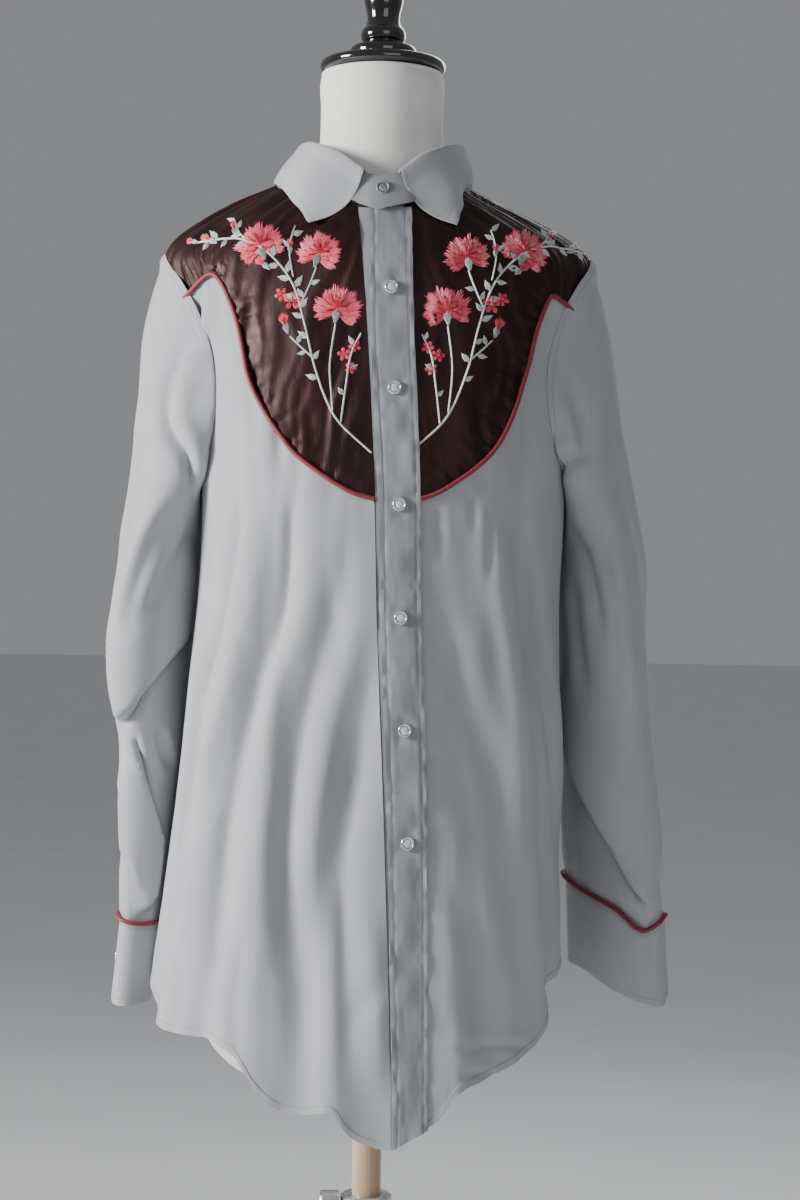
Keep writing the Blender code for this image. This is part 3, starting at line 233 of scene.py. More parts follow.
CAP_BULGE = {-1: 0.0095, 1: 0.0050}          # how far the sleeve's head stands out
ARMHOLE_LAP = 0.0006                         # the sleeve's head over the armhole's edge
SLEEVE_CLEAR = 0.0040                        # sleeve to body
CUFF_CLEAR = 0.0085

# The dress form, as rings: height, half width, reach to the front and back, squareness.
FORM_RINGS = np.array((
    (0.6120, 0.0740, 0.0540, 0.0460, 2.2), (0.6145, 0.0860, 0.0640, 0.0560, 2.2),
    (0.6206, 0.1010, 0.0760, 0.0670, 2.2), (0.6330, 0.1230, 0.0910, 0.0810, 2.2),
    (0.6470, 0.1380, 0.1010, 0.0900, 2.2), (0.6660, 0.1490, 0.1080, 0.0970, 2.2),
    (0.7000, 0.1540, 0.1115, 0.1000, 2.2),
    (0.7800, 0.1470, 0.1080, 0.0960, 2.2), (0.8600, 0.1340, 0.1000, 0.0890, 2.2),
    (0.9400, 0.1210, 0.0940, 0.0830, 2.2), (1.0100, 0.1210, 0.0960, 0.0830, 2.2),
    (1.0900, 0.1320, 0.1040, 0.0880, 2.2), (1.1600, 0.1420, 0.1110, 0.0920, 2.2),
    (1.2200, 0.1490, 0.1110, 0.0930, 2.15), (1.2800, 0.1600, 0.1040, 0.0900, 2.1),
    (1.3200, 0.1700, 0.0970, 0.0850, 1.95), (1.3430, 0.1720, 0.0930, 0.0810, 1.85),
    (1.3600, 0.1660, 0.0885, 0.0780, 1.75), (1.3830, 0.1380, 0.0770, 0.0735, 1.65),
    (1.4010, 0.1030, 0.0700, 0.0700, 1.60), (1.4150, 0.0775, 0.0640, 0.0665, 1.70),
    (1.4240, 0.0660, 0.0600, 0.0640, 1.85), (1.4370, 0.0595, 0.0575, 0.0590, 2.0),
    (1.4560, 0.0560, 0.0560, 0.0560, 2.0), (1.4900, 0.0550, 0.0550, 0.0550, 2.0),
    (1.5190, 0.0545, 0.0545, 0.0545, 2.0), (1.5228, 0.0530, 0.0530, 0.0530, 2.0),
    (1.5240, 0.0490, 0.0490, 0.0490, 2.0)))

# The black cap's turned profile down its outer side: radius, height above its foot.
CAP_PROFILE = (
    (0.0, 0.0840), (0.0085, 0.0825), (0.0150, 0.0775), (0.0182, 0.0700), (0.0175, 0.0620),
    (0.0148, 0.0520), (0.0146, 0.0455), (0.0165, 0.0405), (0.0195, 0.0375), (0.0205, 0.0330),
    (0.0195, 0.0285), (0.0168, 0.0258), (0.0205, 0.0240), (0.0285, 0.0225), (0.0305, 0.0185),
    (0.0300, 0.0140), (0.0345, 0.0122), (0.0530, 0.0100), (0.0562, 0.0075), (0.0566, 0.0035),
    (0.0545, 0.0))
SNAP_HEIGHTS = (1.3167, 1.2297, 1.1307, 1.0347, 0.9396, 0.8444)
BAND_SNAP_ANGLE = math.radians(1.5)
CUFF_SNAP_TURN = 15           # which of the CUFF_TURNS the cuff's snap is on

SIDES = ((-1, "right"), (1, "left"))          # the wearer's right is at negative x

# How finely scene.py's own rows are laid out.
SLEEVE_ROWS = 200
CUFF_ROWS = 44
COLLAR_ROWS = 46
STRIP_CELLS = (34, 420)       # across and down the top strip
UNDER_STRIP_CELLS = (10, 220)
HEM_CELLS = (5, 24)           # the last rows of a panel, and how many they are drawn as
NECK_POINTS = 24
ROPE_SIDES = 14
CAP_TURNS = 96
RING_TURNS = 48               # round a snap's ring, and round its pearl
DOME_TURNS = 40

# Sewing: lines of stitches by their distance in from an edge, and the stitch itself.
PLACKET_STITCH = 0.0045
COLLAR_STITCH = 0.0032
ARMHOLE_STITCH = 0.0060
CUFF_STITCH = 0.0055
SIDE_STITCHES = (0.0020, 0.0075)
STITCH_PITCH = 0.0031
STITCH_LONG = 0.0024
STITCH_RADIUS = 0.00022
HEM_TURN = 0.0062             # the narrow hem's height and its extra thickness
HEM_FOLD = 0.0005
UNDERARM_TURN = 200.0         # where the sleeve's own seam runs
COLLAR_LONG = 0.4400
CUFF_TALL = 0.0830            # along the cloth, as COLLAR_LONG is
LAP_RISE = 0.0030             # the band's upper end above its lower one
STRIP_END = (5.0, 14.5, 4.0)  # degrees: its middle, the reach of the band's foot over it, a fade
FOOT_DROP = (0.0030, 0.0034)  # of the band's foot below the neckline, and more over the strip
FOOT_OUT = (0.0010, 0.0052)   # and off the body surface
POINT_RADIUS = 1e-5           # of a turned profile where it meets its own axis
ROPE_LAY = 0.0060             # one strand's full turn, and the step between rings
ROPE_STEP = 0.0005
EMBROIDERY_START = {-1: -0.0100, 1: 0.0340}    # sideways place that each spray is drawn from
PIPING_PLACES = 300           # along a yoke's seam, the one the cord starts at, and the last
PIPING_FROM = {-1: 0, 1: 6}
PIPING_TO = -2
CREASE_DEPTH = 1.4
CREASE_POINTS = 24            # places along the smooth path of a crease
FAR = 9.0                     # a distance that is beyond everything

# Middle turn, reach and size of the dips of each cuff's top, and of its raised corners.
CUFF_DIPS = {-1: ((132.0, 42.0, 0.0095), (90.0, 24.0, 0.0030)),
             1: ((122.0, 22.0, 0.0115), (78.0, 13.0, -0.0050))}
CUFF_CORNERS = {-1: ((50.0, 24.0, 0.0090), (182.0, 36.0, 0.0125)),
                1: ((62.0, 22.0, 0.0090), (205.0, 30.0, 0.0060))}
CUFF_TOP = {-1: 0.7630, 1: 0.7820}
# Radius and height above the cloth, down the outer side of a snap's ring and of its pearl.
RING_PROFILE = ((0.0040, 0.0012), (0.0044, 0.0024), (0.0052, 0.0028), (0.0060, 0.0018),
                (0.0060, 0.0004), (0.0056, 0.0), (0.0042, 0.0))
DOME_PROFILE = ((0.0, 0.0026), (0.0018, 0.0025), (0.0034, 0.0020), (0.0043, 0.0013),
                (0.0043, 0.0002), (0.0, 0.0002))
surfaces = {}                 # outer face of each cloth piece, by name
threads = []                  # those of the yoke that is being embroidered
stitch_points = []
stitch_faces = []
rng = np.random.default_rng(7)

# ---------------------------------------------------------------- surfaces
def smooth_rows(table, at):
    """Each later column of the table at the given values of its first, as a smooth curve."""
    at = np.asarray(at, dtype=float)
    keys = table[:, 0]
    slopes = np.gradient(table[:, 1:], keys, axis=0)
    low = np.clip(np.searchsorted(keys, at) - 1, 0, len(keys) - 2)
    span = (keys[low + 1] - keys[low])[..., None]
    t = np.clip((at - keys[low])[..., None] / span, 0.0, 1.0)
    start, end = table[low, 1:], table[low + 1, 1:]
    return ((2 * t**3 - 3 * t**2 + 1) * start + (t**3 - 2 * t**2 + t) * span * slopes[low]
            + (3 * t**2 - 2 * t**3) * end + (t**3 - t**2) * span * slopes[low + 1])


def ease(value):
    """0 below 0, 1 above 1, and smooth between."""
    value = np.clip(value, 0.0, 1.0)
    return value * value * (3.0 - 2.0 * value)


def bell(offset, width):
    """1 in the middle, and smoothly down to 0 on both sides."""
    return np.exp(-(offset / width) ** 2)


def wrapped(degrees):
    """The same direction as a value from -180 to 180."""
    return (degrees + 180.0) % 360.0 - 180.0


def unit(vectors):
    return vectors / np.linalg.norm(vectors, axis=-1, keepdims=True)


def run_along(points):
    """The length along a polyline up to each of its points."""
    return np.concatenate(((0.0,), np.cumsum(np.linalg.norm(np.diff(points, axis=0), axis=1))))


def run_down(grid):
    """The length down each column of a grid up to each of its points."""
    steps = np.linalg.norm(np.diff(grid, axis=0), axis=-1)
    return np.concatenate((np.zeros((1, grid.shape[1])), np.cumsum(steps, axis=0)))


def between(at, run, points):
    """The place on a polyline at a length along it."""
    return np.array([np.interp(at, run, column) for column in np.transpose(points)])


def oval(angle, right, left, front, back, square):
    """A level squared oval: x and y, and its reach sideways and in depth at each angle."""
    sine, cosine = np.sin(angle), np.cos(angle)
    aside = np.where(sine < 0.0, right, left)
    depth = np.where(cosine > 0.0, front, back)
    x = aside * np.sign(sine) * np.abs(sine) ** (2.0 / square)
    y = -depth * np.sign(cosine) * np.abs(cosine) ** (2.0 / square)
    return x, y, aside, depth


def fold_out(degrees, height):
    """How far the folds move the body surface out at a place."""
    total = np.zeros(np.broadcast(degrees, height).shape)
    for upper, lower, top, bottom, half_width, out in FOLDS:
        along = np.clip((top - height) / (top - bottom), 0.0, 1.0)
        aside = wrapped(degrees - (upper + (lower - upper) * along))
        grown = ease((top - height) / (0.45 * (top - bottom)))
        total = total + out * grown * bell(aside, half_width)
    return total


def body_skin(angle, height):
    """Inner face of the shirt's body: angle in radians from the front, to the wearer's left."""
    angle, height = np.broadcast_arrays(np.asarray(angle, float), np.asarray(height, float))
    x, y, aside, depth = oval(angle, *np.moveaxis(smooth_rows(BODY_RINGS, height), -1, 0))
    away = unit(np.stack((x / aside**2, y / depth**2), axis=-1))
    out = fold_out(np.degrees(angle), height)
    return np.stack((x + away[..., 0] * out, y + away[..., 1] * out, height), axis=-1)


def body_point(angle, height, out=0.0):
    """A point of the body surface, moved out square to it."""
    angle, height = np.asarray(angle, float), np.asarray(height, float)
    turn, lift = 1e-3, 1e-4
    around = body_skin(angle + turn, height) - body_skin(angle - turn, height)
    upward = body_skin(angle, height + lift) - body_skin(angle, height - lift)
    normal = unit(np.cross(around, upward))
    return body_skin(angle, height) + normal * np.asarray(out)[..., None]


def angle_at(x, height):
    """The angle on the front of the body at a sideways place."""
    x, height = np.asarray(x, float), np.asarray(height, float)
    ring = smooth_rows(BODY_RINGS, height)
    aside = np.where(x < 0.0, ring[..., 0], ring[..., 1])
    share = np.clip(np.abs(x) / aside, 0.0, 1.0) ** (ring[..., 4] / 2.0)
    return np.sign(x) * np.arcsin(share)


def clear_of_body(points, clearance):
    """Points moved sideways until they are clear of the body surface."""
    ring = smooth_rows(BODY_RINGS, points[..., 2])
    aside = np.where(points[..., 0] < 0.0, ring[..., 0], ring[..., 1])
    depth = np.where(points[..., 1] < 0.0, ring[..., 2], ring[..., 3])
    square = ring[..., 4]
    angle = np.arctan2(points[..., 0] / aside, -points[..., 1] / depth)
    grow = clearance + np.maximum(fold_out(np.degrees(angle), points[..., 2]), 0.0)
    reach = (np.abs(points[..., 0] / (aside + grow)) ** square
             + np.abs(points[..., 1] / (depth + grow)) ** square) ** (1.0 / square)
    scale = np.where(reach < 1.0, 1.0 / np.maximum(reach, 0.3), 1.0)
    return points * np.stack((scale, scale, np.ones(scale.shape)), axis=-1)


# ---------------------------------------------------------------- seams on the body
def neck_height(angle):
    rise = ((1.0 - np.cos(angle)) / 2.0) ** 0.42
    return NECK_FRONT + (NECK_BACK - NECK_FRONT) * rise


def armhole(turn, side, front):
    """Angle and height on the armhole: turn 0 at the shoulder tip, pi at the armpit."""
    reach = math.radians(ARMHOLE_REACH) * (-1.0 if front else 1.0)
    angle = side * (math.pi / 2 + reach * np.sin(turn))
    return np.stack((angle, ARMHOLE_MIDDLE + ARMHOLE_HEIGHT / 2 * np.cos(turn)), axis=-1)


def even(points, count):
    """A polyline of angles and heights, shared out evenly by its length on the cloth."""
    points = np.asarray(points, dtype=float)
    run = run_along(points * (GIRTH, 1.0))
    return between(np.linspace(0.0, run[-1], count), run, points).T


def closure_line(column, top, bottom, shift, count=40):
    """Angles and heights down one of the placket's lines."""
    heights = np.linspace(top, bottom, count)
    across = smooth_rows(PLACKET, heights)[:, column] + shift
    return np.stack((angle_at(across, heights), heights), axis=-1)


def front_edge(side, top, bottom):
    """Where a front ends at the closure; the left one reaches in under the top strip."""
    if side < 0:
        return closure_line(0, top, bottom, -SEAM_GAP / 2)
    return closure_line(2, top, bottom, -UNDER_LAP + SEAM_GAP / 2)


def yoke_seam(side, lowered):
    """Angles and heights at the corners that both sides of the yoke's seam share."""
    table = YOKE_SEAM_RIGHT if side < 0 else YOKE_SEAM_LEFT
    run = np.linspace(0.0, 1.0, len(table))
    line = smooth_rows(np.column_stack((run, table)), np.linspace(0.0, 1.0, SEAM_STEPS))
    seam = np.stack((angle_at(line[:, 0], line[:, 1]), line[:, 1]), axis=-1)
    start = front_edge(side, line[0, 1], line[0, 1] - 0.001)[0]
    seam[:, 0] += (start[0] - seam[0, 0]) * np.linspace(1.0, 0.0, SEAM_STEPS) ** 6
    peak = int(np.argmax(seam[:, 1]))
    corners = np.concatenate((even(seam[:peak + 1], SEAM_LOW_CELLS + 1),
                              even(seam[peak:], SEAM_HIGH_CELLS + 1)[1:]))
    tangent = unit(np.gradient(corners * (GIRTH, 1.0), axis=0))
    across = np.stack((tangent[:, 1] * side / GIRTH, -tangent[:, 0] * side), axis=-1)
    return corners + across * lowered


def armhole_turn_at(height):
    return math.acos((height - ARMHOLE_MIDDLE) / (ARMHOLE_HEIGHT / 2))


def hem_line(first, last, count=60):
    angles = np.linspace(first, last, count)
    return np.stack((angles, smooth_rows(HEM, np.degrees(angles))[:, 0]), axis=-1)


def coons(top, bottom, first, last):
    """A patch between four edges; the last one sets the rows, and the others are shared out."""
    across, down = len(top) - 1, len(last) - 1
    bottom = bottom if len(bottom) == across + 1 else even(bottom, across + 1)
    first = first if len(first) == down + 1 else even(first, down + 1)
    u = np.linspace(0.0, 1.0, across + 1)[None, :, None]
    v = np.linspace(0.0, 1.0, down + 1)[:, None, None]
    corners = ((1 - u) * (1 - v) * top[0] + u * (1 - v) * top[-1]
               + (1 - u) * v * bottom[0] + u * v * bottom[-1])
    return ((1 - v) * top[None] + v * bottom[None]
            + (1 - u) * first[:, None] + u * last[:, None] - corners)


# ---------------------------------------------------------------- panels as patches
def side_seam(angle, foot):
    """The side seam below the armpit, the same on the front and the back."""
    heights = np.linspace(ARMHOLE_MIDDLE - ARMHOLE_HEIGHT / 2, foot, SIDE_ROWS + 1)[1:]
    return np.stack((np.full(SIDE_ROWS, angle), heights), axis=-1)


def neck_and_shoulder(start, quarter):
    """Along the neckline from an angle to the side, and down the shoulder seam to its tip."""
    neck = np.linspace(start, quarter, NECK_POINTS)
    neckline = np.stack((neck, neck_height(neck)), axis=-1)
    shoulder = np.linspace(neckline[-1], (quarter, SHOULDER_TIP), NECK_POINTS // 2)[1:]
    return np.concatenate((neckline, shoulder))


def yoke_patch(side):
    """Between the neckline and shoulder seam above and the piped seam below."""
    seam = yoke_seam(side, -YOKE_GAP / 2)
    neck_start = front_edge(side, NECK_FRONT, NECK_FRONT - 0.001)[0, 0]
    top = neck_and_shoulder(neck_start, side * (math.pi / 2 - SIDE_GAP))
    edge = front_edge(side, top[0, 1], seam[0, 1])
    tip = armhole(np.linspace(0.02, armhole_turn_at(seam[-1, 1]), 10), side, True)
    seam[-1] = tip[-1]
    top = even(top, len(seam))
    return coons(top, seam, edge, even(tip, YOKE_ROWS + 1))


def front_patch(side):
    """The grey front: its inner edge runs down the piped seam and then the closure."""
    seam = yoke_seam(side, YOKE_GAP / 2)
    turns = np.linspace(armhole_turn_at(seam[-1, 1]) + 0.004, math.pi, FRONT_HOLE_ROWS + 1)
    hole = armhole(turns, side, True)
    seam[-1] = hole[0]
    edge = front_edge(side, seam[0, 1], PLACKET_FOOT - 0.002)
    quarter = side * (math.pi / 2 - SIDE_GAP)
    hem = hem_line(edge[-1, 0], quarter)
    edge[-1] = hem[0]
    outer = np.concatenate((hole, side_seam(quarter, hem[-1, 1])))
    inner = seam[SEAM_LOW_CELLS::-1]
    below = even(edge, len(outer) - len(inner) + 1)[1:]
    top = even(seam[SEAM_LOW_CELLS:], FRONT_CELLS + 1)
    return coons(top, hem, np.concatenate((inner, below)), outer)


def back_patch(side):
    """Half of the back, from its middle to one side."""
    quarter = side * (math.pi / 2 + SIDE_GAP)
    top = neck_and_shoulder(side * math.pi, quarter)
    hole = armhole(np.linspace(0.02, math.pi, BACK_HOLE_ROWS + 1), side, False)
    hem = hem_line(side * math.pi, quarter)
    outer = np.concatenate((hole, side_seam(quarter, hem[-1, 1])))
    middle = np.linspace(top[0], (side * math.pi, hem[0, 1]), 20)
    return coons(even(top, BACK_CELLS + 1), hem, middle, outer)


def strip_patch(first_column, first_shift, last_column, last_shift, top, across, down):
    """A placket strip between two of the closure's lines, ended by the hem."""
    edges = []
    for column, shift in ((first_column, first_shift), (last_column, last_shift)):
        line = closure_line(column, top, PLACKET_FOOT, shift)
        bottom = smooth_rows(HEM, np.degrees(line[-1, 0]))[0] - 0.001
        edges.append(even(closure_line(column, top, bottom, shift), down + 1))
    u = np.linspace(0.0, 1.0, across + 1)[None, :, None]
    return (1 - u) * edges[0][:, None] + u * edges[1][:, None]


# ---------------------------------------------------------------- sleeves, collar, form
def flat_ring(row, side, turns):
    """One ring of a sleeve: turn 0 on the outside, a quarter at the front, half inside."""
    height, aside, back, half_long, half_thick, lean, raised = row
    lean = math.radians(lean)
    along = np.array((-math.sin(lean) * side, math.cos(lean)))
    outward = np.array((math.cos(lean) * side, math.sin(lean)))
    run, thick = -np.sin(turns), np.cos(turns)
    flat = (np.array((aside * side, back)) + run[:, None] * half_long * along
            + thick[:, None] * half_thick * outward)
    return np.column_stack((flat, height + raised * run))


def armhole_ring(side, turns, out):
    """The sleeve's first ring, lying on the edge of the armhole."""
    front = (turns <= math.pi)[:, None]
    place = np.where(front, armhole(turns, side, True),
                     armhole(2 * math.pi - turns, side, False))
    return body_point(place[:, 0], place[:, 1], out)


def sleeve_rings(side, around):
    """Points of a sleeve's inner face, ring by ring from the armhole down."""
    table = RIGHT_SLEEVE if side < 0 else LEFT_SLEEVE
    turns = np.linspace(0.0, 2 * math.pi, around, endpoint=False)
    hole = armhole_ring(side, turns, CLOTH + ARMHOLE_LAP)
    first = flat_ring(table[0], side, turns)
    rings = []
    for step in CAP_STEPS:
        ring = hole + (first - hole) * step
        swell = CAP_BULGE[side] * math.sin(math.pi * min(step / 0.6, 1.0))
        ring[:, 0] += side * swell * np.maximum(np.cos(turns), 0.0)
        rings.append(ring)
    rings += [flat_ring(row, side, turns) for row in table]
    clearances = np.linspace(SLEEVE_CLEAR, CUFF_CLEAR, len(rings) - 1)
    return [rings[0]] + [clear_of_body(r, c) for r, c in zip(rings[1:], clearances)]


def cuff_rings(side, around):
    table = RIGHT_CUFF if side < 0 else LEFT_CUFF
    turns = np.linspace(0.0, 2 * math.pi, around, endpoint=False)
    return [clear_of_body(flat_ring(row, side, turns), CUFF_CLEAR) for row in table]


def ring_outward(ring):
    """Level unit vectors out of a closed ring of points."""
    around = np.roll(ring, -1, axis=0) - np.roll(ring, 1, axis=0)
    across = unit(np.stack((around[:, 1], -around[:, 0], np.zeros(len(ring))), axis=-1))
    facing = np.sign(np.sum(across * (ring - ring.mean(axis=0)), axis=1).mean())
    return across * facing


def neck_ring(angle, sides, front, back):
    """A level oval round the neck: x and y."""
    depth = np.where(np.cos(angle) > 0.0, front, back)
    return np.stack((sides * np.sin(angle) + COLLAR_SHIFT, -depth * np.cos(angle)), axis=-1)


def band_top(angle):
    rise = ((1.0 - np.cos(angle)) / 2.0) ** 0.6
    return BAND_FRONT_TOP + (BAND_BACK_TOP - BAND_FRONT_TOP) * rise


def band_run(around):
    """The collar band's angles from its lower end on, and its rise over that end at the lap."""
    share = np.linspace(0.0, 1.0, around + 1)
    return BAND_START - share * (2 * math.pi + BAND_LAP), LAP_RISE * ease((share - 0.80) / 0.14)


def band_rows(around, down):
    """The collar band: it winds once round and laps over its own end at the front."""
    angle, lap = band_run(around)
    lap = lap + SEAM_GAP
    foot = body_point(angle, neck_height(angle) + BAND_LIFT, lap)
    top = neck_ring(angle, *BAND_RING)
    top = np.column_stack((top + unit(top) * lap[:, None], band_top(angle)))
    rise = np.linspace(1.0, 0.0, down + 1)
    return [foot + (top - foot) * step for step in rise]


def collar_rows(along, fall):
    """The turned-down collar: up from the band's top to the roll, and down to its edge."""
    share = np.linspace(-1.0, 1.0, along + 1)
    turn = np.abs(share)
    rank = np.linspace(1.0, 0.0, len(COLLAR))
    table = np.column_stack((rank, COLLAR))[::-1]
    roll_angle, roll_height, *edges = smooth_rows(table, turn).T
    facing = np.where(share < 0.0, -1.0, 1.0)
    roll_angle = np.radians(roll_angle) * facing
    edge_angle = np.radians(np.where(share < 0.0, edges[0], edges[2])) * facing
    edge_height = np.where(share < 0.0, edges[1], edges[3])
    roll = np.column_stack((neck_ring(roll_angle, *COLLAR_RING), roll_height))
    edge = body_point(edge_angle, edge_height, COLLAR_LIE)
    under = neck_ring(roll_angle, *(reach - COLLAR_INSET for reach in BAND_RING))
    inside = np.column_stack((under, band_top(roll_angle) + 3 * SEAM_GAP))
    outward = np.column_stack((np.sin(roll_angle), -np.cos(roll_angle), np.zeros(along + 1)))
    rows = [inside, roll + outward * -0.0020 + (0.0, 0.0, -0.0012), roll + outward * COLLAR_ROLL]
    aside, out, down = COLLAR_BOW
    share_of_bow = ease((turn - COLLAR_BOW_START) / (1.0 - COLLAR_BOW_START))[:, None]
    bow = share_of_bow * np.column_stack(
        (-facing * aside, np.full(along + 1, out), np.full(along + 1, down)))
    for step in np.linspace(0.0, 1.0, fall + 1)[1:]:
        bend = COLLAR_ARCH * math.sin(math.pi * step) ** 0.7 * outward
        bend = bend + math.sin(math.pi * step) * bow
        rows.append(rows[2] + (edge - rows[2]) * step + bend)
    return rows


# ---------------------------------------------------------------- creases and small relief
# Creases of the body: their path in degrees and height, half width, how far they stand out,
# and which side of the path the cloth rolls up on.
BODY_CREASES = (
    (((-45, 1.150), (-48, 1.100), (-52, 1.046), (-58, 0.994), (-68, 0.942)), 0.0080, -0.0040, 1),
    (((-36, 1.150), (-42, 1.014), (-54, 0.910), (-69, 0.800)), 0.0140, 0.0032, 1),
    (((-66, 1.060), (-70, 0.950), (-72, 0.780)), 0.0140, 0.0030, 1),
    (((-24, 1.150), (-27, 1.035), (-33, 0.976), (-40, 0.885), (-41, 0.800), (-38, 0.690)),
     0.0105, -0.0042, 1),
    (((-24, 1.150), (-26, 1.050), (-29, 1.000)), 0.0050, -0.0018, -1),
    (((-29, 1.050), (-28, 0.920), (-26, 0.820), (-24, 0.700)), 0.0120, 0.0026, 1),
    (((-6, 1.120), (-13, 0.993), (-18, 0.930), (-20, 0.840), (-17, 0.750), (-13, 0.620)),
     0.0110, -0.0048, 1),
    (((-8, 0.960), (-13, 0.860), (-11, 0.700)), 0.0120, 0.0024, 1),
    (((1, 1.040), (-2, 0.940), (-5, 0.860), (-6, 0.760)), 0.0085, -0.0032, 1),
    (((-5, 0.830), (-4, 0.730), (-2, 0.620)), 0.0060, -0.0026, 1),
    (((0, 0.790), (2, 0.700), (2, 0.620)), 0.0055, 0.0020, 1),
    (((4, 0.734), (0, 0.710), (-2, 0.686)), 0.0045, -0.0014, 1),
    (((-30, 0.780), (-31, 0.700), (-29, 0.630)), 0.0090, -0.0024, -1),
    (((-54, 1.322), (-71, 1.270), (-85, 1.226)), 0.0080, -0.0034, 1),
    (((16, 1.060), (24, 0.975), (34, 0.905), (40, 0.820)), 0.0120, -0.0034, 1),
    (((30, 1.160), (37, 1.060), (44, 0.965), (49, 0.840)), 0.0130, 0.0032, 1),
    (((44, 1.130), (58, 1.010), (68, 0.934), (75, 0.822)), 0.0120, -0.0048, 1),
    (((28, 0.860), (35, 0.780), (42, 0.680)), 0.0130, 0.0024, 1),
    (((20, 0.830), (25, 0.760), (28, 0.660)), 0.0110, -0.0026, 1),
    (((58, 0.860), (62, 0.760), (60, 0.680)), 0.0120, -0.0026, -1),
    (((15, 1.136), (17, 1.080)), 0.0040, -0.0014, 1),
    (((26, 1.146), (28, 1.102)), 0.0045, -0.0014, 1),
    (((32, 1.138), (34, 1.058)), 0.0050, -0.0018, -1),
    (((12, 0.922), (18, 0.914)), 0.0040, -0.0012, 1),
    (((18, 0.670), (39, 0.670), (55, 0.666)), 0.0045, -0.0016, 1),
    (((22, 0.650), (41, 0.646)), 0.0040, -0.0012, 1),
    (((112, 1.130), (118, 0.950), (121, 0.740)), 0.0110, -0.0044, 1),
    (((136, 1.240), (139, 1.050), (143, 0.760)), 0.0130, 0.0034, 1),
    (((165, 1.170), (162, 0.980), (160, 0.720)), 0.0110, -0.0036, -1),
    (((180, 1.300), (179, 1.100), (182, 0.800)), 0.0140, 0.0026, 1),
    (((205, 1.200), (200, 1.000), (203, 0.720)), 0.0110, -0.0040, 1),
    (((226, 1.160), (230, 0.980), (228, 0.740)), 0.0130, 0.0034, 1),
    (((247, 1.100), (243, 0.930), (246, 0.720)), 0.0100, -0.0044, -1),
    (((118, 1.300), (130, 1.270), (141, 1.220)), 0.0080, -0.0028, 1),
    (((242, 1.300), (230, 1.265), (219, 1.220)), 0.0080, -0.0028, -1),
    (((150, 0.720), (158, 0.650)), 0.0090, -0.0022, 1),
    (((214, 0.730), (208, 0.650)), 0.0090, -0.0022, 1))

# The same on the sleeves, by turn and height; the ledges are where cloth overhangs: their
# path, how sharp the edge is, how far back from it the cloth is raised, and by how much.
SLEEVE_CREASES = {
    -1: ((((64, 1.269), (64, 1.232), (75, 1.197), (114, 1.164), (147, 1.133)), 0.0070, -0.0040, 1),
         (((150, 1.120), (120, 1.060), (100, 1.020)), 0.0080, -0.0030, -1),
         (((95, 1.150), (80, 1.080), (70, 1.000)), 0.0090, 0.0026, 1),
         (((125, 0.935), (140, 0.905), (160, 0.890)), 0.0060, -0.0035, 1),
         (((95, 0.925), (110, 0.900)), 0.0050, -0.0030, 1),
         (((20, 0.990), (45, 0.960), (70, 0.945)), 0.0070, -0.0032, 1),
         (((-30, 1.020), (-10, 0.980), (15, 0.955)), 0.0080, -0.0030, 1),
         (((300, 1.180), (312, 1.080), (318, 0.990)), 0.0090, -0.0032, 1),
         (((262, 1.150), (255, 1.060), (262, 0.960)), 0.0080, 0.0026, 1),
         (((230, 1.080), (220, 1.010)), 0.0070, -0.0028, 1),
         (((20, 1.240), (28, 1.140), (26, 1.050)), 0.0090, 0.0020, 1),
         (((340, 0.900), (335, 0.830)), 0.0060, -0.0026, 1),
         (((60, 0.880), (66, 0.800)), 0.0070, -0.0028, 1)),
    1: ((((75, 1.254), (81, 1.191), (102, 1.176), (160, 1.165), (200, 1.161)), 0.0070, -0.0042, 1),
        (((150, 1.130), (128, 1.080), (112, 1.010)), 0.0080, -0.0030, -1),
        (((95, 1.120), (84, 1.020), (82, 0.940)), 0.0100, 0.0022, 1),
        (((152, 1.080), (146, 1.010), (138, 0.960)), 0.0080, -0.0030, 1),
        (((15, 1.220), (22, 1.120), (20, 1.020)), 0.0100, 0.0018, 1),
        (((-15, 1.010), (10, 0.975), (40, 0.955)), 0.0080, -0.0026, 1),
        (((305, 1.170), (315, 1.070), (310, 0.980)), 0.0090, -0.0030, 1),
        (((265, 1.120), (258, 1.030), (264, 0.940)), 0.0080, 0.0026, 1),
        (((228, 1.060), (220, 0.990)), 0.0070, -0.0028, 1),
        (((50, 0.900), (58, 0.830)), 0.0070, -0.0024, 1),
        (((330, 0.900), (338, 0.840)), 0.0060, -0.0026, 1))}
SLEEVE_LEDGES = {
    -1: ((((62, 0.936), (94, 0.950), (111, 0.968), (131, 0.989), (154, 1.011), (182, 1.033),
           (205, 1.050)), 0.0018, 0.0700, 0.0140),
         (((105, 0.766), (131, 0.780), (148, 0.806), (133, 0.849), (107, 0.902), (98, 0.920)),
          0.0012, 0.0300, 0.0090),
         (((74, 1.280), (64, 1.240), (67, 1.212), (83, 1.192), (112, 1.170), (142, 1.135)),
          0.0022, 0.0180, 0.0065)),
    1: ((((96, 0.778), (124, 0.813), (156, 0.873), (171, 0.903), (200, 0.935), (225, 0.955)),
         0.0020, 0.0600, 0.0140),)}
BODY_DEGREE = 0.0026          # metres of cloth to a degree round the body, and round a sleeve
SLEEVE_DEGREE = 0.00095

